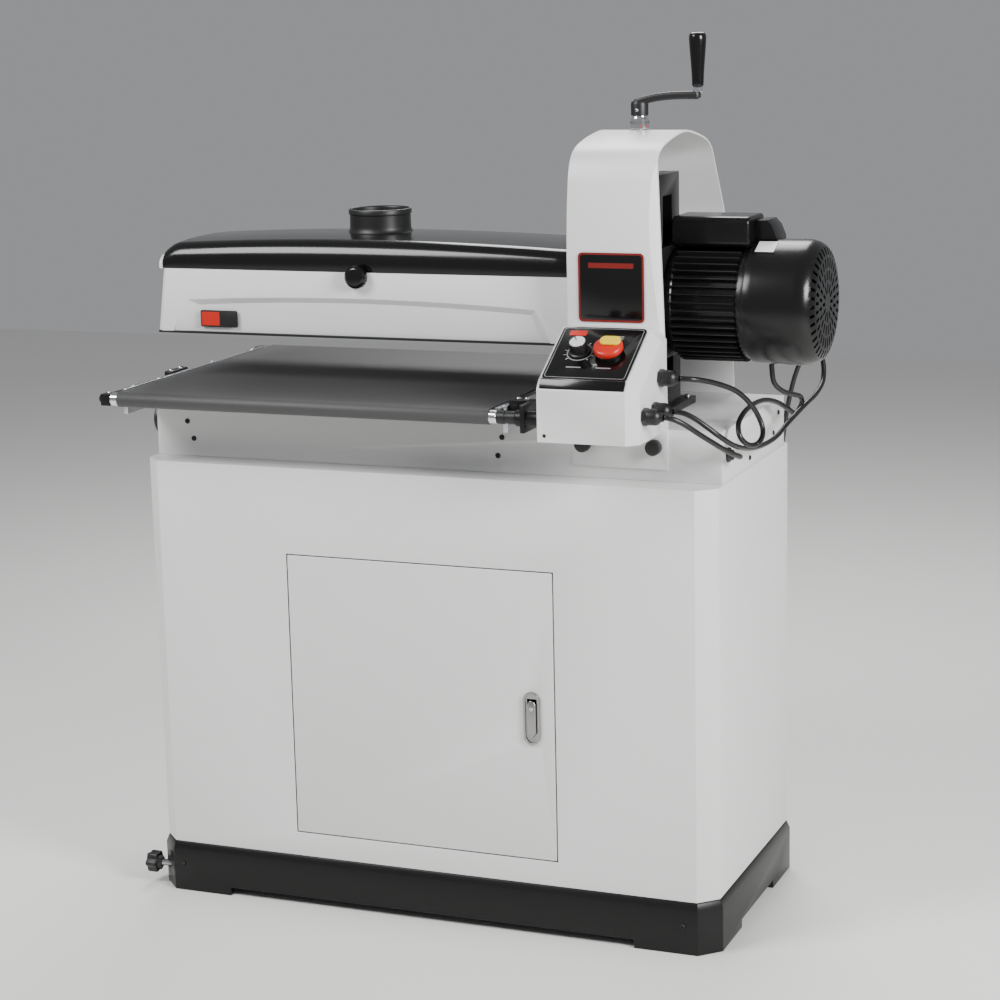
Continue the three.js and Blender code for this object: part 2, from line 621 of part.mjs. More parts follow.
function fanCover() {
  const { coverLeft, right, coverRadius: r } = MOTOR;
  const axis = [0, DRUM.axisY, DRUM.axisZ];
  const outer = [
    [r - 3, coverLeft], [r, coverLeft], [r, right - 30], [r - 4, right - 14], [r - 14, right - 4],
    [r - 26, right], [0, right],
  ];
  const inner = [
    [0, right - 3], [r - 27, right - 3], [r - 16, right - 7], [r - 7, right - 16], [r - 3, right - 31],
    [r - 3, coverLeft],
  ];
  const shell = turned('x', [...outer, ...inner], axis, 32);
  const slots = [];
  const slotCount = 12;
  for (let i = 0; i < slotCount; i += 1) {
    const slot = new THREE.BoxGeometry(40, 6, 46);
    slot.translate(right, 0, 52);
    slot.rotateX((2 * Math.PI * i) / slotCount);
    slots.push(slot.translate(...axis));
  }
  return piece('fan_cover', cut(shell, ...slots), black());
}

function fan() {
  const hub = bar('x', 24, 560, 584, DRUM.axisY, DRUM.axisZ, 20);
  const bladeCount = 8;
  const blades = [];
  for (let i = 0; i < bladeCount; i += 1) {
    const blade = new THREE.BoxGeometry(20, 4, 66);
    blade.translate(572, 0, 50);
    blade.rotateX((2 * Math.PI * i) / bladeCount);
    blades.push(blade.translate(0, DRUM.axisY, DRUM.axisZ));
  }
  const bore = bar('x', DRUM.shaftRadius + CLEAR, 550, 600, DRUM.axisY, DRUM.axisZ, 24);
  return piece('fan', cut(join(hub, ...blades), bore), black());
}

function motorBoxes() {
  const base = DRUM.axisZ + 88 + CLEAR;
  const section = [[-46, base], [46, base], [46, 1144], [36, 1157], [-36, 1157], [-46, 1144]];
  const capacitor = pushed('x', section, MOTOR.left + 4, MOTOR.coverLeft - 3);
  const side = [[1085, 508], [1150, 508], [1150, 526], [1140, 534], [1121, 541], [1085, 541]];
  const seat = bar('x', MOTOR.coverRadius + CLEAR, 500, 560, DRUM.axisY, DRUM.axisZ, 32);
  const junction = cut(pushed('y', side, -14, 42), seat);
  return [
    piece('capacitor_cover', capacitor, black()),
    piece('junction_box', junction, black()),
  ];
}

// ---- control box --------------------------------------------------------------------------
function boxSection(inset) {
  const { front, panelFront, panelBack } = BOX;
  const { bottom, brow, panelLow, panelHigh } = BOX_Z;
  const back = HOOD.front - CLEAR;
  return [
    [back, bottom + inset], [back, panelHigh - inset], [panelBack, panelHigh - inset],
    [panelFront + inset, panelLow - inset], [front + inset, brow - inset], [front + inset, bottom + inset],
  ];
}

// The half of the box beyond a 45 degree bevel along its right front corner, sloped panel and top.
function boxBevel(back) {
  const x = BOX.right - BOX.bevel - back;
  const size = 60;
  const { front } = BOX;
  const corner = [[x - size, front - size], [x + size, front - size], [x + size, front + size]];
  const upright = pushed('z', corner, 800, 1100);
  const slant = [[size, x - size], [size, x + size], [-size, x + size]];
  const along = onPanel(pushed('y', slant, -100, 200), 0, 0, 0);
  const flat = pushed('y', slant, BOX.panelBack - 40, -100);
  return [upright, along, flat.translate(0, 0, BOX_Z.panelHigh)];
}

function controlBox() {
  const outer = cut(pushed('x', boxSection(0), BOX.left, BOX.right), ...boxBevel(0));
  const open = boxSection(3).map(([y, z]) => [y > BOX.panelBack ? y + 1 : y, z]);
  const inner = cut(pushed('x', open, BOX.left + 3, BOX.right - 3), ...boxBevel(1.3));
  const noseHole = bar('x', 14, BOX.left - 5, BOX.left + 8, BELT.front, BELT.axisZ, 24);
  return piece('control_box', cut(outer, inner, noseHole, stopHole()), white());
}

const SLOPE = Math.atan2(BOX_Z.panelHigh - BOX_Z.panelLow, BOX.panelBack - BOX.panelFront);

// Puts a shape made flat, with its middle at the origin, on the sloped panel at (x, distance up the slope).
function onPanel(shape, x, up, lift) {
  const y = BOX.panelFront + up * Math.cos(SLOPE) - lift * Math.sin(SLOPE);
  const z = BOX_Z.panelLow + up * Math.sin(SLOPE) + lift * Math.cos(SLOPE);
  return shape.rotateX(SLOPE).translate(x, y, z);
}

const PANEL = { x: 323, up: 65, halfWidth: 68, halfLength: 63, thick: 3, lift: 0.3 };
const DIAL = { x: 299, up: 66 };
const STOP = { x: 347, up: 66, stem: 18 };

// The round hole through the panel and the box's skin that the stop button's stem slides in.
function stopHole() {
  return onPanel(bar('z', STOP.stem + 0.6, -15, 15, 0, 0, 28), STOP.x, STOP.up, 0);
}

function controlPanel() {
  const { x, up, halfWidth, halfLength, thick, lift } = PANEL;
  const flat = block(-halfWidth, halfWidth, -halfLength, halfLength, 0, thick);
  const plate = onPanel(flat, x, up, lift);
  return piece('control_panel', cut(plate, stopHole()), black());
}

function controls() {
  const top = PANEL.lift + PANEL.thick + CLEAR;
  const profile = [[0, 0], [17, 0], [17, 4], [13.5, 5], [13, 21], [11.5, 22.5], [0, 22.5]];
  const dial = turned('z', profile, [0, 0, 0], 24);
  const collar = bar('z', STOP.stem, -5, 8, 0, 0, 28);
  const paddle = bar('z', 23, 6, 17, 0, 0, 32);
  const key = bar('z', 20, 17.3, 22, 0, 0, 32);
  const button = asGeometry(join(collar, paddle));
  return [
    piece('speed_dial', onPanel(dial, DIAL.x, DIAL.up, top), black()),
    piece('stop_paddle', onPanel(button, STOP.x, STOP.up, top), paint(0xd5261c, 0.4, 0)),
    piece('safety_key', onPanel(key, STOP.x, STOP.up, top), paint(0xe8cf28, 0.4, 0)),
  ];
}

function gland(name, y, z) {
  const x = BOX.right + CLEAR;
  const bore = 4.6;
  const profile = [
    [bore, x], [14, x], [14, x + 9], [11.5, x + 10], [12.5, x + 22], [8, x + 31], [bore, x + 32], [bore, x],
  ];
  return piece(name, turned('x', profile, [0, y, z], 16), black());
}

function boxKnob(name, x) {
  const front = HOOD.front - CLEAR;
  const { z } = KNOB;
  const r = 12.5;
  const profile = [
    [0, front - 22], [9, front - 22], [r, front - 19], [r, front - 5], [10, front], [0, front],
  ];
  const grip = turned('y', profile, [x, 0, z], 20);
  return piece(name, join(grip, bar('y', 4, front - 1, -160, z, x, 12)), black());
}

function namePlate() {
  const shape = new THREE.Shape();
  const half = 54;
  const r = 8;
  shape.absarc(half - r, half - r, r, 0, Math.PI / 2, false);
  shape.absarc(-half + r, half - r, r, Math.PI / 2, Math.PI, false);
  shape.absarc(-half + r, -half + r, r, Math.PI, Math.PI * 1.5, false);
  shape.absarc(half - r, -half + r, r, Math.PI * 1.5, Math.PI * 2, false);
  const plate = pushed('y', shape, HOOD.front - CLEAR - 1.6, HOOD.front - CLEAR);
  return piece('name_plate', plate.translate(321, 0, 1058), black());
}

// ---- cords --------------------------------------------------------------------------------
const MOTOR_LEAD = [
  [442.7, -213, 926], [460, -209, 925], [476, -190, 920], [492, -164, 911], [510, -140, 898],
  [524, -118, 878], [534, -98, 852], [541, -98, 833], [544, -116, 820], [540, -136, 814],
  [532, -154, 818], [524, -166, 832], [518, -154, 846], [514, -120, 856], [512, -62, 862],
  [514, 5, 860], [520, 60, 848], [528, 99, 831], [535, 118, 821], [542, 128, 832], [546, 114, 848],
  [541, 84, 858], [532, 52, 868], [524, 28, 886], [522, 20, 919],
];
const FEED_LEAD = [
  [442.7, -292, 879], [455, -290, 877], [470, -280, 868], [486, -262, 852], [502, -238, 834],
  [514, -208, 817], [521, -180, 805], [522, -158, 798], [515, -144, 797], [497.5, -140, 797],
];
const MAINS_CORD = [
  [442.7, -244, 880], [458, -243, 878], [474, -239, 870], [490, -234, 858], [508, -224, 842],
  [520, -188, 822], [523, -111, 803], [526, -37, 796], [530, 24, 799], [534, 63, 810],
  [542, 88, 822], [552, 116, 836], [558, 170, 848], [558, 212, 866], [551, 230, 895],
  [535, 234, 912], [518, 235, 898], [504, 238, 868], [492, 242, 826], [481, 247, 770],
  [466, 250, 640], [450, 251, 400], [430, 253, 200], [410, 257, 110], [392, 263, 60], [376, 275, 24],
  [362, 288, 8], [346, 303, 4.9], [318, 307.6, 4.9],
];
const COIL = { x: 318, y: 364, inner: 43, outer: 60, high: 17.4 };

function cords() {
  const { x, y, inner, outer, high } = COIL;
  const low = 0.2;
  const rim = outer - 2 * CORD.mains;
  const profile = [[inner, low], [rim, low], [rim, high], [inner, high], [inner, low]];
  const ring = turned('z', profile, [x, y, 0], 32);
  return [
    piece('motor_lead', tube(MOTOR_LEAD, CORD.lead, 56), rubber()),
    piece('feed_lead', tube(FEED_LEAD, CORD.lead, 26), rubber()),
    piece('mains_cord', tube(MAINS_CORD, CORD.mains, 80), rubber()),
    piece('mains_coil', ring, rubber()),
    piece('mains_plug', mainsPlug(), rubber()),
  ];
}

function mainsPlug() {
  const y = COIL.y + 57;
  const z = 16.2;
  const start = COIL.x + 4;
  const face = start + 70;
  const profile = [[0, 0], [5, 0], [7, 28], [14, 38], [16, 48], [16, 70], [0, 70]];
  const body = turned('x', profile, [start, y, z], 16);
  const blades = [-6, 6].map((dy) => block(face - 2, face + 18, y + dy - 1, y + dy + 1, z - 3.5, z + 3.5));
  return join(body, ...blades, bar('x', 2.4, face - 2, face + 20, y, z + 9, 10));
}

// ---- assembly -----------------------------------------------------------------------------
const machine = new THREE.Group();
machine.position.set(SHIFT.x, SHIFT.y, 0);
machine.add(
  plinth(), cabinetBody(), doorPanel(), doorHinge(), ...latch(), lockKnob(),
  machineBase(), parallelismDial(), conveyorBed(), ...bedRails(), conveyorBelt(),
  conveyorRoller('drive_roller', BELT.front, 232), conveyorRoller('idler_roller', BELT.back, BELT.right + 22),
  driveCoupling(), ...takeUps(), gearMotor(),
  towerCover(), column(), headCarriage(), ...crank(),
  dustCover(), dustPort(), coverKnob(), drumHousing(), ...drumParts(),
  ...pressureRoller('front', -84), ...pressureRoller('rear', 84),
  motorBody(), fanCover(), fan(), ...motorBoxes(),
  controlBox(), controlPanel(), ...controls(),
  gland('gland_upper', -213, 926),
  gland('gland_lower_front', -292, 879), gland('gland_lower_rear', -244, 880),
  boxKnob('box_knob_left', KNOB.leftX), boxKnob('box_knob_right', KNOB.rightX), namePlate(), ...cords(),
);

const sander = new THREE.Group();
sander.add(machine);
export default sander;
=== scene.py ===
"""Looks for the open-ended drum sander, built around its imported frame.

Shapes are written in millimetres around the middle of the cabinet and turned into row metres by to_row.
"""
import json
import math
import bpy
import bmesh
from mathutils import Matrix, Vector


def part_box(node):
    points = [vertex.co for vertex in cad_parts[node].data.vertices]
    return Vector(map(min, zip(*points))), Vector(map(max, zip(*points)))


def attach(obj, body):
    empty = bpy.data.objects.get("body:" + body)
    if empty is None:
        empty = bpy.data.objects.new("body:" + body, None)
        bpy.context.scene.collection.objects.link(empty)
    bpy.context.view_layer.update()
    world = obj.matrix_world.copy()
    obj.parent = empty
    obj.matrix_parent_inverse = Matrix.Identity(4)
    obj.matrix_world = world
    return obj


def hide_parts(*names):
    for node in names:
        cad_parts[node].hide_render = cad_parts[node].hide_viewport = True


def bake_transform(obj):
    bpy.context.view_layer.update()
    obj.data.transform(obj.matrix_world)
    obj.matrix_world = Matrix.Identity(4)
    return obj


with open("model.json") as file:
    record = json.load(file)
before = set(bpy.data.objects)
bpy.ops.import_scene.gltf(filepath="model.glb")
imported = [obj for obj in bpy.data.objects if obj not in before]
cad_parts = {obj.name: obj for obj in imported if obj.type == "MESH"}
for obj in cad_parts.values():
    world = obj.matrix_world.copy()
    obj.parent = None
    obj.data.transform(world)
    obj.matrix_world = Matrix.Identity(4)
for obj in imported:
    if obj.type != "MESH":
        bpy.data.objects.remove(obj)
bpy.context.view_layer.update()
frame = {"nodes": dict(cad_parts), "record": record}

CABINET_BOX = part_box("cabinet_body")
SHIFT = Vector([(CABINET_BOX[0][0] + CABINET_BOX[1][0]) / 2, (CABINET_BOX[0][1] + CABINET_BOX[1][1]) / 2,
                0.0])
MM = 0.001

DRUM_AXIS = (0, 1020)
BELT_LEFT, BELT_RIGHT = -498.5, 160
BELT_FRONT, BELT_BACK, BELT_Z = -288, 262, 867.5
SCREW_AT = (311, 0)
PORT_AT = (-149, 0)
HOOD_FRONT = -175.3
PLATE_BACK = HOOD_FRONT - 0.3


def to_row(point):
    return Vector((point[0] * MM + SHIFT.x, point[1] * MM + SHIFT.y, point[2] * MM))


# ---- camera ---------------------------------------------------------------------------------
def make_camera():
    data = bpy.data.cameras.new("main_camera")
    data.sensor_width = 36.0
    data.lens = 87.7
    camera = bpy.data.objects.new("main_camera", data)
    bpy.context.scene.collection.objects.link(camera)
    yaw, pitch, roll = math.radians(22.125), math.radians(11.8245), math.radians(-1.317)
    forward = Vector((-math.sin(yaw) * math.cos(pitch), math.cos(yaw) * math.cos(pitch), -math.sin(pitch)))
    level = Vector((math.cos(yaw), math.sin(yaw), 0.0))
    above = level.cross(forward)
    right = math.cos(roll) * level + math.sin(roll) * above
    up = -math.sin(roll) * level + math.cos(roll) * above
    turn = Matrix((right, up, -forward)).transposed().to_4x4()
    camera.matrix_world = Matrix.Translation(Vector((1.5692, -3.7228, 1.5127)) + SHIFT) @ turn
    bpy.context.scene.camera = camera
    return camera


make_camera()


# ---- node groups ----------------------------------------------------------------------------
def new_group(name, inputs, outputs):
    group = bpy.data.node_groups.new(name, "ShaderNodeTree")
    for label, kind, default in inputs:
        socket = group.interface.new_socket(label, in_out="INPUT", socket_type=kind)
        if default is not None:
            socket.default_value = default
    for label, kind in outputs:
        group.interface.new_socket(label, in_out="OUTPUT", socket_type=kind)
    return group, group.nodes.new("NodeGroupInput"), group.nodes.new("NodeGroupOutput")


def node(tree, kind, inputs, **settings):
    """A node whose inputs are set to plain values or linked to other nodes' outputs."""
    new = tree.nodes.new(kind)
    for key, value in settings.items():
        setattr(new, key, value)
    for socket, source in inputs.items():
        if isinstance(source, bpy.types.NodeSocket):
            tree.links.new(source, new.inputs[socket])
        else:
            new.inputs[socket].default_value = source
    return new


def maths(tree, operation, *values, clamp=False):
    inputs = dict(enumerate(values))
    return node(tree, "ShaderNodeMath", inputs, operation=operation, use_clamp=clamp).outputs[0]


FLOAT, COLOUR, VECTOR = "NodeSocketFloat", "NodeSocketColor", "NodeSocketVector"


def make_finish_group():
    """Blotches, fine grain and worn edges laid over a base colour; gives colour, roughness and normal."""
    group, gin, gout = new_group(
        "surface_finish",
        [("Colour", COLOUR, (0.8, 0.8, 0.8, 1)), ("Worn Colour", COLOUR, (0.6, 0.6, 0.6, 1)),
         ("Blotch Scale", FLOAT, 6.0), ("Blotch Amount", FLOAT, 0.1), ("Grain Scale", FLOAT, 900.0),
         ("Grain Height", FLOAT, 0.05), ("Grain Colour", FLOAT, 0.0), ("Roughness", FLOAT, 0.4),
         ("Roughness Spread", FLOAT, 0.1), ("Edge Wear", FLOAT, 0.0), ("Stretch", VECTOR, (1, 1, 1))],
        [("Colour", COLOUR), ("Roughness", FLOAT), ("Normal", VECTOR)])
    given = gin.outputs
    place = node(group, "ShaderNodeTexCoord", {}).outputs["Object"]
    drawn = node(group, "ShaderNodeVectorMath", {0: place, 1: given["Stretch"]},
                 operation="MULTIPLY").outputs[0]
    blotch = node(group, "ShaderNodeTexNoise",
                  {"Vector": place, "Scale": given["Blotch Scale"], "Detail": 5.0}).outputs["Fac"]
    grain = node(group, "ShaderNodeTexNoise",
                 {"Vector": drawn, "Scale": given["Grain Scale"], "Detail": 3.0}).outputs["Fac"]
    spread = maths(group, "SUBTRACT", blotch, 0.5)
    tone = maths(group, "MULTIPLY_ADD", spread, given["Blotch Amount"], 1.0)
    speck = maths(group, "SUBTRACT", grain, 0.5)
    speckled = maths(group, "MULTIPLY_ADD", speck, given["Grain Colour"], tone)
    shaded = node(group, "ShaderNodeVectorMath", {0: given["Colour"], "Scale": speckled}, operation="SCALE")
    pointed = node(group, "ShaderNodeNewGeometry", {}).outputs["Pointiness"]
    edge = node(group, "ShaderNodeMapRange", {0: pointed, 1: 0.53, 2: 0.62}).outputs[0]
    wear = maths(group, "MULTIPLY", maths(group, "MULTIPLY", edge, blotch), given["Edge Wear"], clamp=True)
    mix = node(group, "ShaderNodeMix", {"Factor": wear, 6: shaded.outputs[0], 7: given["Worn Colour"]},
               data_type="RGBA")
    rough = maths(group, "MULTIPLY_ADD", spread, given["Roughness Spread"], given["Roughness"], clamp=True)
    bump = node(group, "ShaderNodeBump", {"Distance": 0.0004, "Strength": given["Grain Height"],
            "Height": grain})
    for label, source in (("Colour", mix.outputs[2]), ("Roughness", rough), ("Normal",
            bump.outputs["Normal"])):
        group.links.new(source, gout.inputs[label])
    return group


FINISH = make_finish_group()


def principled(material):
    material.use_nodes = True
    return next(n for n in material.node_tree.nodes if n.type == "BSDF_PRINCIPLED")


def finish_material(name, colour, worn=None, metallic=0.0, specular=0.5, coat=0.0, **values):
    material = bpy.data.materials.new(name)
    shader = principled(material)
    tree = material.node_tree
    shader.inputs["Metallic"].default_value = metallic
    shader.inputs["Specular IOR Level"].default_value = specular
    if coat:
        shader.inputs["Coat Weight"].default_value = coat
        shader.inputs["Coat Roughness"].default_value = 0.08
    look = tree.nodes.new("ShaderNodeGroup")
    look.node_tree = FINISH
    look.inputs["Colour"].default_value = (*colour, 1)
    look.inputs["Worn Colour"].default_value = (*(worn or colour), 1)
    for key, value in values.items():
        look.inputs[key.replace("_", " ").title()].default_value = value
    for label, socket in (("Colour", "Base Color"), ("Roughness", "Roughness"), ("Normal", "Normal")):
        tree.links.new(look.outputs[label], shader.inputs[socket])
    return material


WHITE = finish_material("white_powder_coat", (0.74, 0.745, 0.735), (0.5, 0.5, 0.49), blotch_amount=0.05,
                        blotch_scale=3.0, grain_scale=1100, grain_height=0.07, roughness=0.38,
                        roughness_spread=0.12, edge_wear=0.25)
BLACK_COAT = finish_material("black_enamel", (0.006, 0.006, 0.006), (0.04, 0.04, 0.04), blotch_amount=0.2,
                             grain_scale=800, specular=0.28, grain_height=0.08, roughness=0.34,
                             roughness_spread=0.14, edge_wear=0.5)
MOTOR_BLACK = finish_material("motor_enamel", (0.005, 0.005, 0.005), (0.04, 0.04, 0.04), blotch_amount=0.2,
                              grain_scale=600, specular=0.36, grain_height=0.12, roughness=0.24,
                              roughness_spread=0.12, edge_wear=0.6)
GLOSS_BLACK = finish_material("gloss_black_plastic", (0.004, 0.004, 0.004), (0.03, 0.03, 0.03),
                              blotch_amount=0.15, specular=0.34, grain_scale=500, grain_height=0.03,
                              roughness=0.17, roughness_spread=0.1, coat=0.2)
MATTE_BLACK = finish_material("matte_black_plastic", (0.007, 0.007, 0.007), (0.04, 0.04, 0.04),
                              blotch_amount=0.2, grain_scale=1300, grain_height=0.2, roughness=0.42,
                              roughness_spread=0.1, edge_wear=0.3)
CORD_BLACK = finish_material("cord_rubber", (0.007, 0.007, 0.007), blotch_amount=0.15, grain_scale=1500,
                             grain_height=0.15, roughness=0.34, roughness_spread=0.12)
ROLLER_RUBBER = finish_material("roller_rubber", (0.03, 0.03, 0.032), blotch_amount=0.2, grain_scale=700,
                                grain_height=0.3, roughness=0.6)
STEEL = finish_material("machined_steel", (0.55, 0.56, 0.58), metallic=1.0, blotch_amount=0.12,
                        grain_scale=900, grain_height=0.1, stretch=(0.05, 1, 1), roughness=0.28,
                        roughness_spread=0.2)
CHROME = finish_material("chrome_plate", (0.78, 0.79, 0.81), metallic=1.0, blotch_amount=0.05,
                         grain_scale=300, grain_height=0.015, roughness=0.09, roughness_spread=0.08)
SATIN_CHROME = finish_material("satin_chrome", (0.36, 0.36, 0.35), metallic=1.0, blotch_amount=0.15,
                               blotch_scale=40.0, grain_scale=600, grain_height=0.04, roughness=0.24,
                               roughness_spread=0.1)
BELT_GRIT = finish_material("belt_grit", (0.05, 0.05, 0.05), blotch_amount=0.25, blotch_scale=4.0,
                            grain_scale=1400, grain_height=0.55, grain_colour=1.3, roughness=0.52,
                            roughness_spread=0.1)
DRUM_GRIT = finish_material("drum_abrasive", (0.16, 0.075, 0.045), blotch_amount=0.3, grain_scale=1500,
                            grain_height=0.8, grain_colour=1.6, roughness=0.85)
RED = finish_material("red_plastic", (0.55, 0.018, 0.008), blotch_amount=0.08, grain_height=0.04,
                      roughness=0.28)
DARK_RED = finish_material("dark_red_print", (0.17, 0.008, 0.006), blotch_amount=0.08, grain_height=0.03,
                           roughness=0.35)
YELLOW = finish_material("yellow_plastic", (0.8, 0.56, 0.02), blotch_amount=0.08, grain_height=0.04,
                         roughness=0.3)
# Dial cap colour: partly real silver, partly a painted highlight, made lighter so that it also carries the
# cap's glare.
DIAL_SILVER_AND_GLARE = finish_material("dial_cap_silver_and_glare", (0.82, 0.82, 0.83), metallic=0.35, blotch_amount=0.05,
                              grain_height=0.03, roughness=0.26)
LABEL_WHITE = finish_material("label_film", (0.66, 0.66, 0.64), blotch_amount=0.06, grain_height=0.03,
                              roughness=0.35)
LABEL_GREY = finish_material("label_print_grey", (0.25, 0.25, 0.25), blotch_amount=0.1, grain_height=0.03,
                             roughness=0.4)


# ---- shapes: each returns (vertices, faces) in millimetres --------------------------------------
def grid_faces(rows, columns, wrap=True):
    faces = []
    for r in range(rows - 1):
        for c in range(columns if wrap else columns - 1):
            d = (c + 1) % columns
            faces.append((r * columns + c, r * columns + d, (r + 1) * columns + d, (r + 1) * columns + c))
    return faces


def loft(rings):
    """Rings of equal count joined by walls, with flat ends."""
    count = len(rings[0])
    faces = grid_faces(len(rings), count)
    faces.append(tuple(range(count)))
    last = (len(rings) - 1) * count
    faces.append(tuple(last + i for i in reversed(range(count))))
    return [p for ring in rings for p in ring], faces


SPREAD = {"x": lambda u, v, w: (w, u, v), "y": lambda u, v, w: (v, w, u), "z": lambda u, v, w: (u, v, w)}


def prism(axis, outline, start, end):
    """An outline pushed along an axis: points are (y, z) along x, (z, x) along y and (x, y) along z."""
    place = SPREAD[axis]
    return loft([[place(u, v, w) for u, v in outline] for w in (start, end)])


def box(x0, x1, y0, y1, z0, z1):
    return prism("z", [(x0, y0), (x1, y0), (x1, y1), (x0, y1)], z0, z1)


def lathe(axis, centre, profile, sides=72):
    """A profile of (radius, height along the axis) turned about the axis through centre (u, v)."""
    place = SPREAD[axis]
    closed = profile[0][0] > 0
    points, rows = [], []
    for radius, height in profile:
        if radius == 0:
            rows.append([len(points)])
            points.append(place(centre[0], centre[1], height))
        else:
            rows.append(list(range(len(points), len(points) + sides)))
            for i in range(sides):
                a = 2 * math.pi * i / sides
                points.append(place(centre[0] + radius * math.cos(a), centre[1] + radius * math.sin(a),
                                    height))
    faces = []
    pairs = list(zip(rows, rows[1:])) + ([(rows[-1], rows[0])] if closed else [])
    for low, high in pairs:
        for i in range(sides):
            j = (i + 1) % sides
            ring = [low[i % len(low)], low[j % len(low)], high[j % len(high)], high[i % len(high)]]
            face = tuple(dict.fromkeys(ring))
            if len(face) > 2:
                faces.append(face)
    return points, faces


def rod(axis, centre, radius, start, end, sides=48, chamfer=0.0):
    c = chamfer
    if c:
        profile = [(0, start), (radius - c, start), (radius, start + c), (radius, end - c),
                   (radius - c, end), (0, end)]
    else:
        profile = [(0, start), (radius, start), (radius, end), (0, end)]
    return lathe(axis, centre, profile, sides)


def merged(*shapes):
    points, faces = [], []
    for shape_points, shape_faces in shapes:
        offset = len(points)
        points += list(shape_points)
        faces += [tuple(i + offset for i in face) for face in shape_faces]
    return points, faces


def moved(shape, matrix):
    return [tuple(matrix @ Vector(p)) for p in shape[0]], shape[1]


def smooth_line(points, steps):
    """A centripetal curve through the points, resampled evenly in length."""
    p = [Vector(q) for q in points]
    p = [2 * p[0] - p[1]] + p + [2 * p[-1] - p[-2]]
    fine = []
    for i in range(1, len(p) - 2):
        p0, p1, p2, p3 = p[i - 1:i + 3]
        t0 = 0.0
        t1 = (p1 - p0).length ** 0.5
        t2 = t1 + (p2 - p1).length ** 0.5
        t3 = t2 + (p3 - p2).length ** 0.5
        for k in range(24):
            t = t1 + (t2 - t1) * k / 24
            a1 = (t1 - t) / (t1 - t0) * p0 + (t - t0) / (t1 - t0) * p1
            a2 = (t2 - t) / (t2 - t1) * p1 + (t - t1) / (t2 - t1) * p2
            a3 = (t3 - t) / (t3 - t2) * p2 + (t - t2) / (t3 - t2) * p3
            b1 = (t2 - t) / (t2 - t0) * a1 + (t - t0) / (t2 - t0) * a2
            b2 = (t3 - t) / (t3 - t1) * a2 + (t - t1) / (t3 - t1) * a3
            fine.append((t2 - t) / (t2 - t1) * b1 + (t - t1) / (t2 - t1) * b2)
    fine.append(p[-2])
    lengths = [0.0]
    for a, b in zip(fine, fine[1:]):
        lengths.append(lengths[-1] + (b - a).length)
    out = []
    j = 0
    for i in range(steps + 1):
        want = lengths[-1] * i / steps
        while j < len(fine) - 2 and lengths[j + 1] < want:
            j += 1
        share = (want - lengths[j]) / max(1e-9, lengths[j + 1] - lengths[j])
        out.append(fine[j].lerp(fine[j + 1], min(1.0, share)))
    return out


def heading(line, i):
    """The direction of a line of points at its point i."""
    return (line[min(i + 1, len(line) - 1)] - line[max(i - 1, 0)]).normalized()


def tube(line, radius, sides=16):
    """A round tube along a line of points with no twist."""
    rings = []
    tangents = [heading(line, i) for i in range(len(line))]
    side = tangents[0].orthogonal().normalized()
    for point, tangent in zip(line, tangents):
        side = (side - tangent * side.dot(tangent)).normalized()
        other = tangent.cross(side)
        ring = []
        for i in range(sides):
            a = 2 * math.pi * i / sides
            ring.append(tuple(point + radius * (math.cos(a) * side + math.sin(a) * other)))
        rings.append(ring)
    return loft(rings)


def arc(u, v, radius, start, end, steps):
    """Points around (u, v) from one angle to another, in degrees."""
    angles = [math.radians(start + (end - start) * i / steps) for i in range(steps + 1)]
    return [(u + radius * math.cos(a), v + radius * math.sin(a)) for a in angles]


def rounded(half_u, half_v, radius, steps=8):
    """A rectangle with round corners around the origin, counter-clockwise."""
    out = []
    for cu, cv, start in ((1, 1, 0), (-1, 1, 90), (-1, -1, 180), (1, -1, 270)):
        out += arc(cu * (half_u - radius), cv * (half_v - radius), radius, start, start + 90, steps)
    return out


# ---- turning shapes into finished objects --------------------------------------------------------
def cleaned(mesh, merge, flatten=None):
    """Joins doubled points, faces everything outwards and, with an angle, joins up flat faces first."""
    bm = bmesh.new()
    bm.from_mesh(mesh)
    bmesh.ops.remove_doubles(bm, verts=bm.verts, dist=merge)
    if flatten:
        bmesh.ops.dissolve_limit(bm, angle_limit=flatten, verts=bm.verts, edges=bm.edges)
    bmesh.ops.recalc_face_normals(bm, faces=bm.faces)
    bm.to_mesh(mesh)
    bm.free()
    return mesh


def linked(name, mesh):
    obj = bpy.data.objects.new(name, mesh)
    bpy.context.scene.collection.objects.link(obj)
    return obj


def plain_mesh(name, points, faces):
    mesh = bpy.data.meshes.new(name)
    mesh.from_pydata(points, [], faces)
    return mesh


def to_object(name, shape):
    return linked(name, cleaned(plain_mesh(name, [to_row(p) for p in shape[0]], shape[1]), 1e-6))


def baked(obj):
    """Applies the object's modifiers and drops them."""
    bpy.context.view_layer.update()
    graph = bpy.context.evaluated_depsgraph_get()
    mesh = bpy.data.meshes.new_from_object(obj.evaluated_get(graph), depsgraph=graph)
    obj.modifiers.clear()
    obj.data = mesh
    return obj


def cut_with(obj, tool):
    """Takes the tool object's shape out of obj and removes the tool."""
    cut = obj.modifiers.new("cut", "BOOLEAN")
    cut.operation = "DIFFERENCE"
    cut.solver = "EXACT"
    cut.object = tool
    baked(obj)
    bpy.data.objects.remove(tool)


def carved(obj, *cutters):
    for shape in cutters:
        cut_with(obj, to_object("tool", shape))
    return obj


def bevelled(obj, width, segments=3, angle=28):
    bevel = obj.modifiers.new("bevel", "BEVEL")
    bevel.width = width * MM
    bevel.segments = segments
    bevel.limit_method = "ANGLE"
    bevel.angle_limit = math.radians(angle)
    bevel.harden_normals = False
    bevel.use_clamp_overlap = True
    return baked(obj)


def piece(obj, material, body, nodes=(), slot=None, smooth=32):
    """Gives a finished mesh its material and shading, and ties it to its body."""
    if material:
        obj.data.materials.clear()
        obj.data.materials.append(material)
    obj.data.shade_smooth()
    obj.data.set_sharp_from_angle(angle=math.radians(smooth))
    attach(obj, body)
    if nodes:
        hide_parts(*nodes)
    return obj


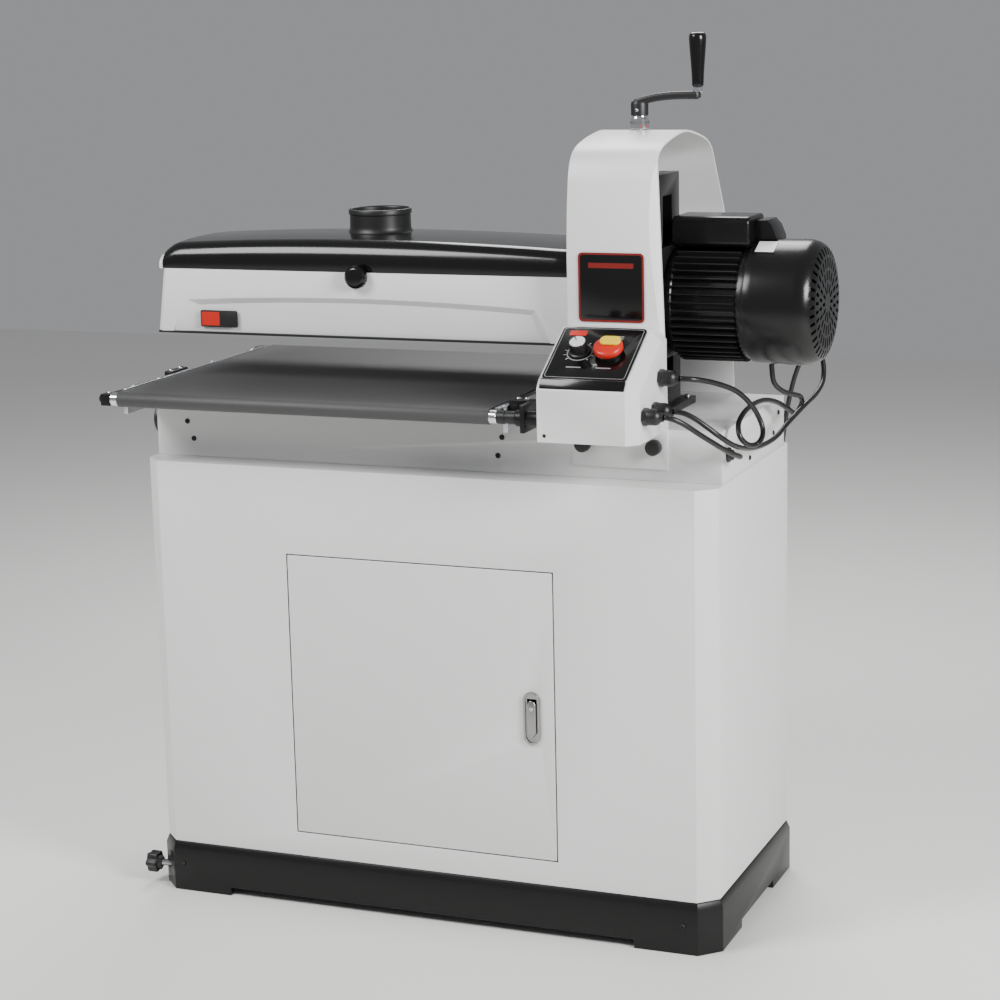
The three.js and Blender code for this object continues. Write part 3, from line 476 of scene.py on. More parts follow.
def made(name, shape, *rest, bevel=None, **more):
    """A piece straight from its shape, with bevel as for bevelled and the rest as for piece."""
    obj = to_object(name, shape)
    if bevel:
        bevelled(obj, *bevel)
    return piece(obj, *rest, **more)


def from_frame(part):
    """A copy of a frame node's shape with its flat faces joined up, ready for bevels."""
    source = frame["nodes"][part]
    mesh = source.data.copy()
    mesh.transform(source.matrix_world)
    return linked("look_" + part, cleaned(mesh, 2e-6, math.radians(0.8)))


BODY_OF = {part: body for body, parts in frame["record"]["behaviour"]["bodies"].items() for part in parts}


def stand_in(part, shape, material, slot, smooth=32, bevel=None):
    """A shape that takes the place of the frame node of this name, on that node's body."""
    return made("look_" + part, shape, material, BODY_OF[part], [part], slot, smooth, bevel=bevel)


def restyled(part, material, bevel, slot, segments=2):
    """The frame's own shape with rounded edges, standing for its node."""
    return piece(bevelled(from_frame(part), bevel, segments), material, BODY_OF[part], [part], slot)


# ---- cords --------------------------------------------------------------------------------------
CORD_R = 4.2
MOTOR_LEAD = [(442.7, -213, 926), (460, -209, 925), (476, -190, 920), (492, -164, 911), (510, -140, 898),
              (524, -118, 878), (534, -98, 852), (541, -98, 833), (544, -116, 820), (540, -136, 814),
              (532, -154, 818), (524, -166, 832), (518, -154, 846), (514, -120, 856), (512, -62, 862),
              (514, 5, 860), (520, 60, 848), (528, 99, 831), (535, 118, 821), (542, 128, 832),
              (546, 114, 848), (541, 84, 858), (532, 52, 868), (524, 28, 886), (522, 20, 919) ]
FEED_LEAD = [
    (442.7, -292, 879), (455, -290, 877), (470, -280, 868), (486, -262, 852), (502, -238, 834),
    (514, -208, 817), (521, -180, 805), (522, -158, 798), (515, -144, 797), (497.5, -140, 797)
]
MAINS_CORD = [
    (442.7, -244, 880), (458, -243, 878), (474, -239, 870), (490, -234, 858), (508, -224, 842),
    (520, -188, 822), (523, -111, 803), (526, -37, 796), (530, 24, 799), (534, 63, 810), (542, 88, 822),
    (552, 116, 836), (558, 170, 848), (558, 212, 866), (551, 230, 895), (535, 234, 912), (518, 235, 898),
    (504, 238, 868), (492, 242, 826), (481, 247, 770), (466, 250, 640), (450, 251, 400), (430, 253, 200),
    (410, 257, 110), (392, 263, 60), (376, 275, 24), (362, 288, 8), (346, 303, 4.9)
]
COIL_AT = (318, 364)


def ease(t):
    t = max(0.0, min(1.0, t))
    return t * t * (3 - 2 * t)


def coil_points():
    """One and a half turns on the floor: in from the wall's cord, up onto itself and out to the plug."""
    points = []
    for degrees in range(0, 545, 8):
        radius = 56.4 - 9.1 * ease(degrees / 100) + 9.7 * ease((degrees - 460) / 84)
        height = 4.9 + 8.4 * ease((degrees - 325) / 95) + 2.9 * ease((degrees - 470) / 74)
        a = math.radians(-90 - degrees)
        points.append((COIL_AT[0] + radius * math.cos(a), COIL_AT[1] + radius * math.sin(a), height))
    return points


def make_cord(name, line, nodes, ties=None):
    obj = to_object(name, tube(line, CORD_R))
    obj.data.materials.append(CORD_BLACK)
    obj.data.shade_smooth()
    if ties:
        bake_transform(obj)
    else:
        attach(obj, "stand")
    if nodes:
        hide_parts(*nodes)
    return obj


def make_plug():
    y, z = COIL_AT[1] + 57, 16.2
    start = COIL_AT[0] + 4.3
    face = start + 69.7
    outline = [(0, 0), (4.9, 0), (5.4, 6), (5, 8), (6, 14), (5.4, 16), (6.8, 22), (6.4, 24), (8, 29),
               (12, 35), (14.5, 40), (15.6, 46), (16, 54), (16, 67.7), (15, 69.7), (0, 69.7)]
    body = lathe("x", (y, z), [(r, start + along) for r, along in outline], 40)
    blades = [box(face - 1, face + 18, y + d - 0.9, y + d + 0.9, z - 3.4, z + 3.4) for d in (-6, 6)]
    pin = rod("x", (y, z + 9), 2.3, face - 1, face + 20, 20, 0.8)
    plug = made("plug_body", body, MATTE_BLACK, "stand", ["mains_plug"], "rubber")
    prongs = made("plug_prongs", merged(*blades, pin), STEEL, "stand")
    return plug, prongs


PLUG = make_plug()
make_cord("look_mains_cord", smooth_line(MAINS_CORD + coil_points(), 420), ["mains_cord", "mains_coil"])
make_cord("look_feed_lead", smooth_line(FEED_LEAD, 60), ["feed_lead"])
LEAD_LINE = smooth_line(MOTOR_LEAD, 200)
LOOP_LOW = Vector((540, -136, 814))
TIE = min(range(len(LEAD_LINE)), key=lambda i: (LEAD_LINE[i] - LOOP_LOW).length)
make_cord("look_motor_lead", LEAD_LINE[:TIE + 1], ["motor_lead"])
make_cord("motor_lead_riser", LEAD_LINE[TIE:], [],
          ties=("stand", "head", to_row((522, 20, 824)), to_row((522, 20, 919))))


# ---- repeated parts by geometry nodes --------------------------------------------------------------
def geometry_group(name, sockets):
    group = bpy.data.node_groups.new(name, "GeometryNodeTree")
    group.interface.new_socket("Geometry", in_out="INPUT", socket_type="NodeSocketGeometry")
    for label, kind in sockets:
        group.interface.new_socket(label, in_out="INPUT", socket_type=kind)
    group.interface.new_socket("Geometry", in_out="OUTPUT", socket_type="NodeSocketGeometry")
    return group, group.nodes.new("NodeGroupInput"), group.nodes.new("NodeGroupOutput")


def place_and_paint(group, gin, gout, points, turn):
    """Source on every point, turned, made real and given Material."""
    source = node(group, "GeometryNodeObjectInfo", {"Object": gin.outputs["Source"]}).outputs["Geometry"]
    placed = node(group, "GeometryNodeInstanceOnPoints", {"Points": points, "Instance": source,
            "Rotation": turn})
    real = node(group, "GeometryNodeRealizeInstances", {0: placed.outputs[0]})
    paint = node(group, "GeometryNodeSetMaterial",
                 {"Geometry": real.outputs[0], "Material": gin.outputs["Material"]})
    group.links.new(paint.outputs[0], gout.inputs["Geometry"])
    return group


def make_scatter_group():
    """Copies of Source on each point of the mesh, turned by Turn and realised with Material."""
    group, gin, gout = geometry_group("parts_on_points", [
        ("Source", "NodeSocketObject"), ("Turn", "NodeSocketVector"), ("Material", "NodeSocketMaterial")])
    return place_and_paint(group, gin, gout, gin.outputs["Geometry"], gin.outputs["Turn"])


def make_ring_group():
    """Count copies of Source turned about Axis through Centre, from Start, a Step apart."""
    group, gin, gout = geometry_group("parts_in_ring", [
        ("Source", "NodeSocketObject"), ("Count", "NodeSocketInt"), ("Centre", "NodeSocketVector"),
        ("Axis", "NodeSocketVector"), ("Start", "NodeSocketFloat"), ("Step", "NodeSocketFloat"),
        ("Material", "NodeSocketMaterial")])
    given = gin.outputs
    points = node(group, "GeometryNodePoints", {"Count": given["Count"], "Position": given["Centre"]})
    index = node(group, "GeometryNodeInputIndex", {}).outputs[0]
    angle = maths(group, "MULTIPLY_ADD", index, given["Step"], given["Start"])
    turn = node(group, "ShaderNodeVectorMath", {0: given["Axis"], "Scale": angle}, operation="SCALE")
    return place_and_paint(group, gin, gout, points.outputs[0], turn.outputs[0])


SCATTER = make_scatter_group()
RING = make_ring_group()


def run_group(obj, group, values):
    modifier = obj.modifiers.new("repeat", "NODES")
    modifier.node_group = group
    names = {item.name: item.identifier for item in group.interface.items_tree if item.in_out == "INPUT"}
    for label, value in values.items():
        modifier[names[label]] = value
    return baked(obj)


def source_object(name, shape):
    """A shape to be repeated, kept around its own origin, in metres."""
    mesh = plain_mesh(name + "_source", [Vector(p) * MM for p in shape[0]], shape[1])
    return linked(name + "_source", cleaned(mesh, 1e-7))


def on_points(name, shape, points, turn, material):
    source = source_object(name, shape)
    obj = linked(name, plain_mesh(name, [to_row(p) for p in points], []))
    run_group(obj, SCATTER, {"Source": source, "Turn": turn, "Material": material})
    bpy.data.objects.remove(source)
    return obj


def in_ring(name, shape, count, centre, axis, start, step, material):
    source = source_object(name, shape)
    obj = linked(name, bpy.data.meshes.new(name))
    run_group(obj, RING, {"Source": source, "Count": count, "Centre": to_row(centre), "Axis": axis,
                          "Start": start, "Step": step, "Material": material})
    bpy.data.objects.remove(source)
    return obj


def button_screw(radius, height):
    """A domed screw head with a round socket, standing up from its origin along +Z."""
    dome = [(0, height * 0.25), (radius * 0.42, height * 0.25), (radius * 0.46, height),
            (radius * 0.7, height * 0.92), (radius * 0.93, height * 0.55), (radius, height * 0.2),
            (radius, 0), (0, 0)]
    return lathe("z", (0, 0), dome, 24)


FRONTWARD = (math.radians(90), 0, 0)
RIGHTWARD = (0, math.radians(90), 0)
LEFTWARD = (0, math.radians(-90), 0)
BACKWARD = (math.radians(-90), 0, 0)
UPWARD = (0, 0, 0)


def screws(name, points, turn, body, material=MATTE_BLACK, radius=4.0, height=2.2):
    return piece(on_points(name, button_screw(radius, height), points, turn, material), None, body)


# ---- stand --------------------------------------------------------------------------------------
def make_stand():
    restyled("plinth", BLACK_COAT, 2.2, "black_paint", segments=3)
    restyled("cabinet_body", WHITE, 2.6, "white_paint", segments=3)
    restyled("door_panel", WHITE, 1.3, "white_paint", segments=3)
    restyled("door_hinge", STEEL, 0.4, "bright_steel")
    screws("plinth_screws", [(-455, -235.2, 48), (448, -235.2, 48)], FRONTWARD, "stand")


def make_latch():
    x, z, front = 196, 368, -229
    outline = arc(z + 30, x, 14, 90, -90, 24) + arc(z - 30, x, 14, -90, -270, 24)

    def shrunk(amount):
        return [(z + (v - z) * (1 - amount / 44), x + (u - x) * (1 - amount / 14)) for v, u in outline]

    plate = to_object("look_latch_plate", prism("y", outline, front - 4, front - 0.3))
    carved(plate, prism("y", shrunk(3.4), front - 5, front - 1.0),
           box(x - 8.2, x + 8.2, front - 3, front + 1, z + 22.5, z + 32))
    bevelled(plate, 1.1, 4)
    piece(plate, SATIN_CHROME, "door", ["latch_plate"], "chrome_trim")
    lever_line = [(z + 24, x - 7.6), (z + 29, x - 4), (z + 30, x), (z + 29, x + 4), (z + 24, x + 7.6),
                  (z - 24, x + 7.6), (z - 34, x), (z - 24, x - 7.6)]
    lever = to_object("look_latch_lever", prism("y", lever_line, front - 5.4, front - 1.8))
    bevelled(lever, 1.4, 4)
    piece(lever, SATIN_CHROME, "latch", ["latch_lever"], "chrome_trim")
    made("latch_keyhole", rod("y", (z + 16, x), 3.4, front - 6.0, front - 5.5, 32, 0.15), STEEL, "latch")


def make_lock_knob():
    y, z = -212, 37
    star = []
    for i in range(96):
        a = 2 * math.pi * i / 96
        star.append((y + (17.2 + 1.8 * math.cos(6 * a)) * math.cos(a),
                     z + (17.2 + 1.8 * math.cos(6 * a)) * math.sin(a)))
    knob = to_object("look_lock_knob", prism("x", star, -534, -514))
    bevelled(knob, 3.0, 4, 40)
    hub = to_object("lock_hub", lathe("x", (y, z), [(0, -515), (12, -515), (10, -511), (8, -508),
            (0, -508)], 48))
    piece(knob, MATTE_BLACK, "levelling_lock", ["lock_knob"], "black_plastic", 40)
    piece(hub, MATTE_BLACK, "levelling_lock", slot="black_plastic")
    threads = [(0, -508.5)]
    for i in range(28):
        at = -508.5 + 2 * i
        threads += [(4.7, at), (5.5, at + 1.0)]
    threads += [(4.7, -452), (0, -452)]
    made("lock_rod", lathe("x", (y, z), threads, 32), STEEL, "levelling_lock")


# ---- machine base and conveyor ------------------------------------------------------------------
def make_base():
    restyled("machine_base", WHITE, 1.8, "white_paint", segments=3)
    screws("base_front_screws", [(-439, -172.2, 814), (-428, -172.2, 785), (131.5, -172.2, 813),
                                 (124, -172.2, 783)], FRONTWARD, "stand", radius=4.6)
    screws("base_right_screws", [(497.2, 120, 786), (497.2, 150, 815), (497.2, -20, 770)], RIGHTWARD,
           "stand", radius=4.2)
    screws("base_rear_screws", [(x, 187.2, z) for x in (-420, -140, 140, 420) for z in (775, 818)],
           BACKWARD, "stand")
    grommet = lathe("x", (-140, 797), [(4.6, 497.3), (12, 497.3), (12, 500), (8.5, 503), (8, 506),
            (4.6, 506)], 40)
    made("lead_grommet", grommet, MATTE_BLACK, "stand")
    knob = [(0, -520), (24, -520), (27, -518.8), (29, -516), (29, -502), (27.5, -498.4), (0, -498.4)]
    stand_in("parallelism_dial", lathe("x", (-119, 808), knob, 96), MATTE_BLACK, "black_plastic")
    ribs = in_ring("parallelism_ribs", box(-515, -503, -1.1, 1.1, 28.4, 29.6), 48, (0, -119, 808),
                   (1, 0, 0), 0.0, 2 * math.pi / 48, MATTE_BLACK)
    piece(ribs, None, "parallelism")


def belt_loop(radius, left, right, steps=20):
    """The belt's side outline at a radius around both rollers, pushed from left to right."""
    outline = arc(BELT_FRONT, BELT_Z, radius, 90, 270, steps) + arc(BELT_BACK, BELT_Z, radius, -90, 90,
            steps)
    return prism("x", outline, left, right)


def make_conveyor():
    belt = to_object("look_conveyor_belt", belt_loop(12.5, BELT_LEFT, BELT_RIGHT))
    carved(belt, belt_loop(11.3, BELT_LEFT - 1.5, BELT_RIGHT + 2))
    piece(bevelled(belt, 0.4, 2, 60), BELT_GRIT, "stand", ["conveyor_belt"], "abrasive")
    for part in ("conveyor_bed", "bed_rail_left", "bed_rail_right"):
        restyled(part, STEEL, 0.8, "bright_steel")
    for part, y, body, end in (("drive_roller", BELT_FRONT, "drive", 232), ("idler_roller", BELT_BACK,
            "idler", 181)):
        centre = (y, BELT_Z)
        core = rod("x", centre, 11, -512, 172, 72, 1.0)
        shaft = rod("x", centre, 5, -522.4, end, 32, 0.8)
        stand_in(part, core, CHROME, "bright_steel")
        made(part + "_shaft", shaft, STEEL, body)
    coupling = lathe("x", (BELT_FRONT, BELT_Z), [(5.3, 172.3), (9.6, 172.3), (10.5, 173.5), (10.5, 185),
            (9.2, 186), (9.2, 189), (10.5, 190), (10.5, 202.6), (9.6, 203.7), (5.3, 203.7)], 56)
    stand_in("drive_coupling", coupling, MATTE_BLACK, "black_plastic")
    for part in ("take_up_front_left", "take_up_rear_left", "take_up_rear_right"):
        restyled(part, BLACK_COAT, 2.6, "black_paint", segments=4)
    screws("take_up_caps", [(-528.6, y, BELT_Z) for y in (BELT_FRONT, BELT_BACK)], LEFTWARD, "stand",
           MATTE_BLACK, 8.5, 6)
    screws("take_up_top_screws", [(-520.5, -284, 876.6), (181, 267, 876.6)], UPWARD, "stand", CHROME, 3.0,
           2.4)
    restyled("gear_motor", BLACK_COAT, 1.2, "black_paint")
    screws("feed_bracket_screws", [(192, -248, 890.2), (206, -248, 890.2)], UPWARD, "stand", STEEL, 4.0, 3)
    made("rail_bracket", box(-523, -508.4, -96, -38, 868, 884), BLACK_COAT, "stand", bevel=(1.8, 3))
    screws("rail_bracket_screws", [(-515.5, -84, 884.1), (-515.5, -52, 884.1)], UPWARD, "stand", CHROME,
           4.4, 3)
    screws("left_rail_screws", [(-504, y, 881) for y in (-235, -150, 40, 190)], UPWARD, "stand", CHROME,
           3.0, 1.6)


# ---- tower --------------------------------------------------------------------------------------
HOOD_CROWN = [(HOOD_FRONT, 1060), (-175, 1110), (-172.5, 1160), (-168, 1200), (-161, 1236), (-148, 1259),
              (-128, 1270.5), (-95, 1279), (-50, 1286), (0, 1289.3), (67, 1279), (111, 1267), (133, 1252),
              (150, 1218), (168, 1180), (184, 1143), (187, 1090)]


def hood_outline(inset):
    line = [p.xy for p in smooth_line([(y, z, 0) for y, z in HOOD_CROWN], 90)]
    out = []
    for i, p in enumerate(line):
        along = heading(line, i)
        inward = Vector((along.y, -along.x))
        out.append(tuple(p + inward * inset))
    foot = 838.3 - (4 if inset else 0)
    return [(187 - inset, foot)] + out[::-1] + [(HOOD_FRONT + inset, foot)]


def hood_corner(dx, dy):
    low = [(405.7 + dx, -180 + dy, 890), (430 + dx, -180 + dy, 890), (430 + dx, -159 + dy, 890)]
    high = [(357 + dx, -180 + dy, 1300), (430 + dx, -180 + dy, 1300), (430 + dx, -117 + dy, 1300)]
    return loft([low, high])


def make_tower():
    hood = to_object("look_tower_cover", prism("x", hood_outline(0), 248, 411))
    carved(hood, hood_corner(0, 0))
    inner = carved(to_object("hood_inner", prism("x", hood_outline(3), 251, 416)), hood_corner(-3, 3))
    cut_with(hood, inner)
    lean = prism("y", [(863, 411), (1300, 388), (1300, 500), (863, 500)], -300, 300)
    carved(hood, lean, box(243, 256, -57, 57, 890, 1080), rod("z", SCREW_AT, 13, 1200, 1320, 48))
    bevelled(hood, 1.1, 3, 25)
    piece(hood, WHITE, "stand", ["tower_cover"], "white_paint", 26)
    apron = to_object("hood_apron", box(251.3, 410.8, HOOD_FRONT, HOOD_FRONT + 3, 774, 838.1))
    carved(apron, rod("y", (811.5, 274), 4.4, -190, -160, 24), rod("y", (811.5, 391), 4.4, -190, -160, 24))
    piece(bevelled(apron, 0.8, 2), WHITE, "stand")
    made("hood_tab", box(252, 270, -120, -92, 1246, 1252), STEEL, "stand", bevel=(0.8, 2))
    screws("hood_side_screws", [(247.8, y, z) for y in (-150, 158) for z in (870, 1120)], LEFTWARD, "stand")
    for part in ("column", "head_carriage"):
        restyled(part, BLACK_COAT, 1.4, "black_paint")
    screws("column_screws", [(365, y, 850.2) for y in (-70, 70)] + [(304, y, 850.2) for y in (-70, 70)],
           UPWARD, "stand", STEEL, 5.5, 4)


def make_crank():
    threads = [(0, 1078)]
    turn = 1078.5
    while turn < 1272:
        threads += [(6.9, turn), (8.0, turn + 1.6)]
        turn += 3.2
    threads += [(7.6, 1276), (7.6, 1332), (0, 1332)]
    stand_in("lead_screw", lathe("z", SCREW_AT, threads, 40), STEEL, "bright_steel")
    dial = [(8.3, 1291), (14.2, 1291), (15, 1291.8), (15, 1306.5), (13.4, 1309), (13, 1311.7),
            (8.3, 1311.7)]
    stand_in("height_dial", lathe("z", SCREW_AT, dial, 96), CHROME, "chrome_trim")
    ticks = in_ring("dial_ticks", box(14.95, 15.15, -0.25, 0.25, -4.5, 0), 32, (*SCREW_AT, 1303.5),
                    (0, 0, 1), 0.0, 2 * math.pi / 32, MATTE_BLACK)
    piece(ticks, None, "crank")
    marks = in_ring("dial_marks", box(14.95, 15.2, -1.6, 1.6, -1.2, 1.2), 4, (*SCREW_AT, 1296), (0, 0, 1),
                    -1.2, 0.8, RED)
    piece(marks, None, "crank")
    made("crank_hub", lathe("z", SCREW_AT, [(8.3, 1312), (13.4, 1312), (14, 1312.8), (14, 1330),
            (13.3, 1333), (12, 1335), (0, 1335), (0, 1332.6), (8.3, 1332.6)], 64), MATTE_BLACK, "crank")
    screws("crank_set_screw", [(311, -13.8, 1321)], FRONTWARD, "crank", STEEL, 2.6, 1.0)
    line = smooth_line([(302, 0, 1330), (313, 0, 1334), (335, 0, 1339.5), (365, 0, 1342.8),
                        (392, 0, 1343.5), (412, 0, 1343.5)], 44)
    rings = []
    for i, p in enumerate(line):
        along = heading(line, i)
        up = Vector((-along.z, 0, along.x))
        end = min(1.0, (1 - abs(2 * i / 44 - 1)) * 7 + 0.45)
        section = rounded(8.2 * end, 6.4 * min(1.0, end + 0.1), 4.0 * end, 5)
        rings.append([tuple(p + Vector((0, 1, 0)) * u + up * v) for u, v in section])
    stand_in("crank_arm", loft(rings), MATTE_BLACK, "black_paint", 50)
    end = (408, 0)
    collar = lathe("z", end, [(0, 1348), (7, 1348), (8, 1349.4), (8, 1355.6), (7, 1357), (0, 1357)], 48)
    made("crank_collar", collar, CHROME, "crank")
    grip = [(0, 1357.3), (8.3, 1357.3), (9.2, 1359), (9.4, 1364), (9.9, 1376), (10.8, 1390), (12.0, 1405),
            (13.1, 1419), (13.8, 1430), (13.7, 1435), (12.6, 1438.6), (9.5, 1440.6), (5, 1441), (0, 1441)]
    stand_in("crank_grip", lathe("z", end, grip, 72), GLOSS_BLACK, "black_plastic", 60)


# ---- drum head ----------------------------------------------------------------------------------
def housing_ring(z, lean):
    """The skirt's outline at a height, drawn in by lean, with its left corners round."""
    x0, x1 = -505 + lean, 238
    y = 141 - lean / 3
    line = arc(x0 + 9, 9 - y, 9, 180, 270, 8) + [(x1, -y), (x1, y)] + arc(x0 + 9, y - 9, 9, 90, 180, 8)
    return [(u, v, z) for u, v in line]


RECESS_RIM = [(-478, 955), (-450, 1016.5), (-127, 1036), (181, 1015.5), (209, 955)]
RECESS_FLOOR = [(-446, 955), (-427, 1006.4), (-141, 1025), (169.6, 1005), (192.6, 955)]


def recess_outline(y):
    """The pressed band's outline at a depth: wide at the skirt's face, narrower at its floor."""
    t = min(1.0, max(0.0, (y + 140) / 8.5))
    low_left, high_left, crown, high_right, low_right = [
        (a + (c - a) * t, b + (d - b) * t) for (a, b), (c, d) in zip(RECESS_RIM, RECESS_FLOOR)]
    line = []
    for i in range(25):
        k = i / 24
        x = (1 - k) ** 2 * high_left[0] + 2 * k * (1 - k) * crown[0] + k * k * high_right[0]
        z = (1 - k) ** 2 * high_left[1] + 2 * k * (1 - k) * crown[1] + k * k * high_right[1]
        line.append((x, y, z))
    return [(low_left[0], y, low_left[1])] + line + [(low_right[0], y, low_right[1])]


def cover_section(rise, inset):
    """Half-round brow, flat crown and rounded back of the cover as (y, z)."""
    depth = 137 - inset
    base = 1067.3 - (3 if inset else 0)
    top = 1067.3 + 50 + rise - inset
    shoulder = 1067.3 + 24 + rise * 0.5
    points = [(-depth, base), (-depth, shoulder - 8)]
    for i in range(1, 13):
        a = math.radians(90 * i / 12)
        points.append((-depth + 26 * (1 - math.cos(a)),
                       shoulder - 8 + (top - 3 - shoulder + 8) * math.sin(a)))
    points += [(-80, top - 0.8), (-40, top), (10, top - 0.2), (60, top - 2.5), (95, top - 7)]
    for i in range(1, 9):
        a = math.radians(90 * i / 8)
        points.append((95 + (depth - 95) * math.sin(a), shoulder + (top - 7 - shoulder) * math.cos(a)))
    points.append((depth, base))
    return points


def cover_shape(inset):
    rings = []
    left, right = -491.5 + inset, 236 - inset
    for i in range(41):
        t = (i / 40) ** 1.35
        x = left + (right - left) * t
        away = (x - left) / 24
        if inset:
            round_end = -6 * max(0, 1 - away)
        else:
            round_end = -11 * (1 - math.sin(math.radians(90 * min(1, away))))
        crown = 4 * t * (1 - t)
        rings.append([(x, y, z) for y, z in cover_section(-6 + 10.5 * crown + round_end, inset)])
    return loft(rings)


def make_head():
    housing = to_object("look_drum_housing", loft([housing_ring(962, 0), housing_ring(1067, 12)]))
    carved(housing, box(-489, 232, -127.5, 133, 950, 1080))
    face = -141
    carved(housing, loft([recess_outline(face + 1), recess_outline(face + 9.5)]))
    carved(housing, loft([recess_outline(face - 8), recess_outline(face + 1.02)]))
    carved(housing, rod("x", DRUM_AXIS, 14, 200, 260, 48))
    bevelled(housing, 1.6, 3, 20)
    piece(housing, WHITE, "head", ["drum_housing"], "white_paint", 24)
    # A white plate rising along the cover's left end: a painted highlight standing in for the bright
    # reflection on the cover's left bevel.
    highlight_cheek_line = cover_section(-24, 0)
    made("head_cheek", prism("x", [(y, z if z > 1070 else 1066) for y, z in highlight_cheek_line], -499.5, -492.2),
         WHITE, "head", smooth=40, bevel=(2.2, 4, 40))
    made("head_boss", lathe("x", DRUM_AXIS, [(14, -489.2), (28, -489.2), (28, -481), (27, -480),
            (14, -480)], 64), WHITE, "head")
    made("skirt_trim", merged(box(-503, 236, -140.9, -139.2, 958.6, 962.6), box(-503, 236, 139.2, 140.9,
            958.6, 962.6)), MATTE_BLACK, "head", bevel=(0.4, 2))
    cover = to_object("look_dust_cover", cover_shape(0))
    carved(cover, cover_shape(4), rod("z", PORT_AT, 48, 1040, 1200, 72))
    piece(bevelled(cover, 0.8, 2, 50), GLOSS_BLACK, "lid", ["dust_cover"], "black_paint", 40)
    port = [(48, 1112), (59, 1112), (57.6, 1118), (54, 1121.5), (51.6, 1126), (51.2, 1131), (51, 1150),
            (52.8, 1151.4), (53, 1157.6), (52, 1159.4), (50, 1159.8), (48.4, 1158.6), (48, 1156)]
    stand_in("dust_port", lathe("z", PORT_AT, port, 96), MATTE_BLACK, "black_paint", 45)
    screws("port_screws", [(PORT_AT[0] + 58 * math.cos(a), 58 * math.sin(a),
                            1117.5) for a in (0.8, 2.35, 3.9, 5.5)], UPWARD, "lid", STEEL, 2.6, 1.6)
    knob = [(0, -154.6), (12.5, -154.6), (14.5, -154), (16.4, -152), (18.6, -150.5), (19, -149), (19, -143),
            (18, -141), (14, -138.5), (0, -138.5)]
    stand_in("cover_knob", lathe("y", (1061, -129), knob, 72), GLOSS_BLACK, "black_plastic")
    flutes = in_ring("cover_knob_ribs", box(-1.2, 1.2, -9, -5, 18.4, 19.5), 20, (-129, -138.5, 1061),
                     (0, 1, 0), 0.0, 2 * math.pi / 20, GLOSS_BLACK)
    piece(flutes, None, "lid_latch")
    hinge = [rod("x", (139.0, 1063.5), 2.6, x, x + 60, 24, 0.4) for x in (-420, -160, 120)]
    made("lid_hinges", merged(*hinge), STEEL, "head")
    made("model_badge", prism("y", [(z + 984, x - 389) for x, z in rounded(35, 14.2, 3)], face + 3.9,
                              face + 4.9), MATTE_BLACK, "head", bevel=(0.3, 2))
    made("badge_patch", prism("y", [(z + 984, x - 405) for x, z in rounded(17, 11.5, 2)], face + 3.6,
                              face + 3.88), RED, "head")


def make_drum():
    left, right = -483.5, 151.5
    profile = [(12.8, left + 34), (52, left + 34), (52, left + 1), (62.6, left + 1), (63.5, left + 2),
               (63.5, right - 2), (62.6, right - 1), (52, right - 1), (52, right - 34), (12.8, right - 34)]
    stand_in("drum", lathe("x", DRUM_AXIS, profile, 96), DRUM_GRIT, "abrasive")
    stand_in("drum_shaft", rod("x", DRUM_AXIS, 12.5, -494, 590, 56, 1.0), STEEL, "bright_steel")
    restyled("bearing_inboard", BLACK_COAT, 1.5, "black_paint")
    ring = [(12.8, -479.7), (16, -479.7), (16.6, -478.9), (22.4, -478.9), (23, -479.7), (25.6, -479.7),
            (26, -479.2), (26, -466.5), (25.6, -466), (12.8, -466)]
    stand_in("bearing_outboard", lathe("x", DRUM_AXIS, ring, 64), STEEL, "bright_steel")
    for side, y in (("front", -84), ("rear", 84)):
        restyled("pressure_bracket_" + side, STEEL, 1.0, "bright_steel")
        roller = rod("x", (y, 968), 11, -479.5, 147.5, 56, 1.0)
        axle = rod("x", (y, 968), 4, -487.5, 230.5, 28, 0.5)
        body = side + "_pressure_roller"
        stand_in("pressure_roller_" + side, roller, ROLLER_RUBBER, "rubber")
        made("pressure_axle_" + side, axle, STEEL, body)


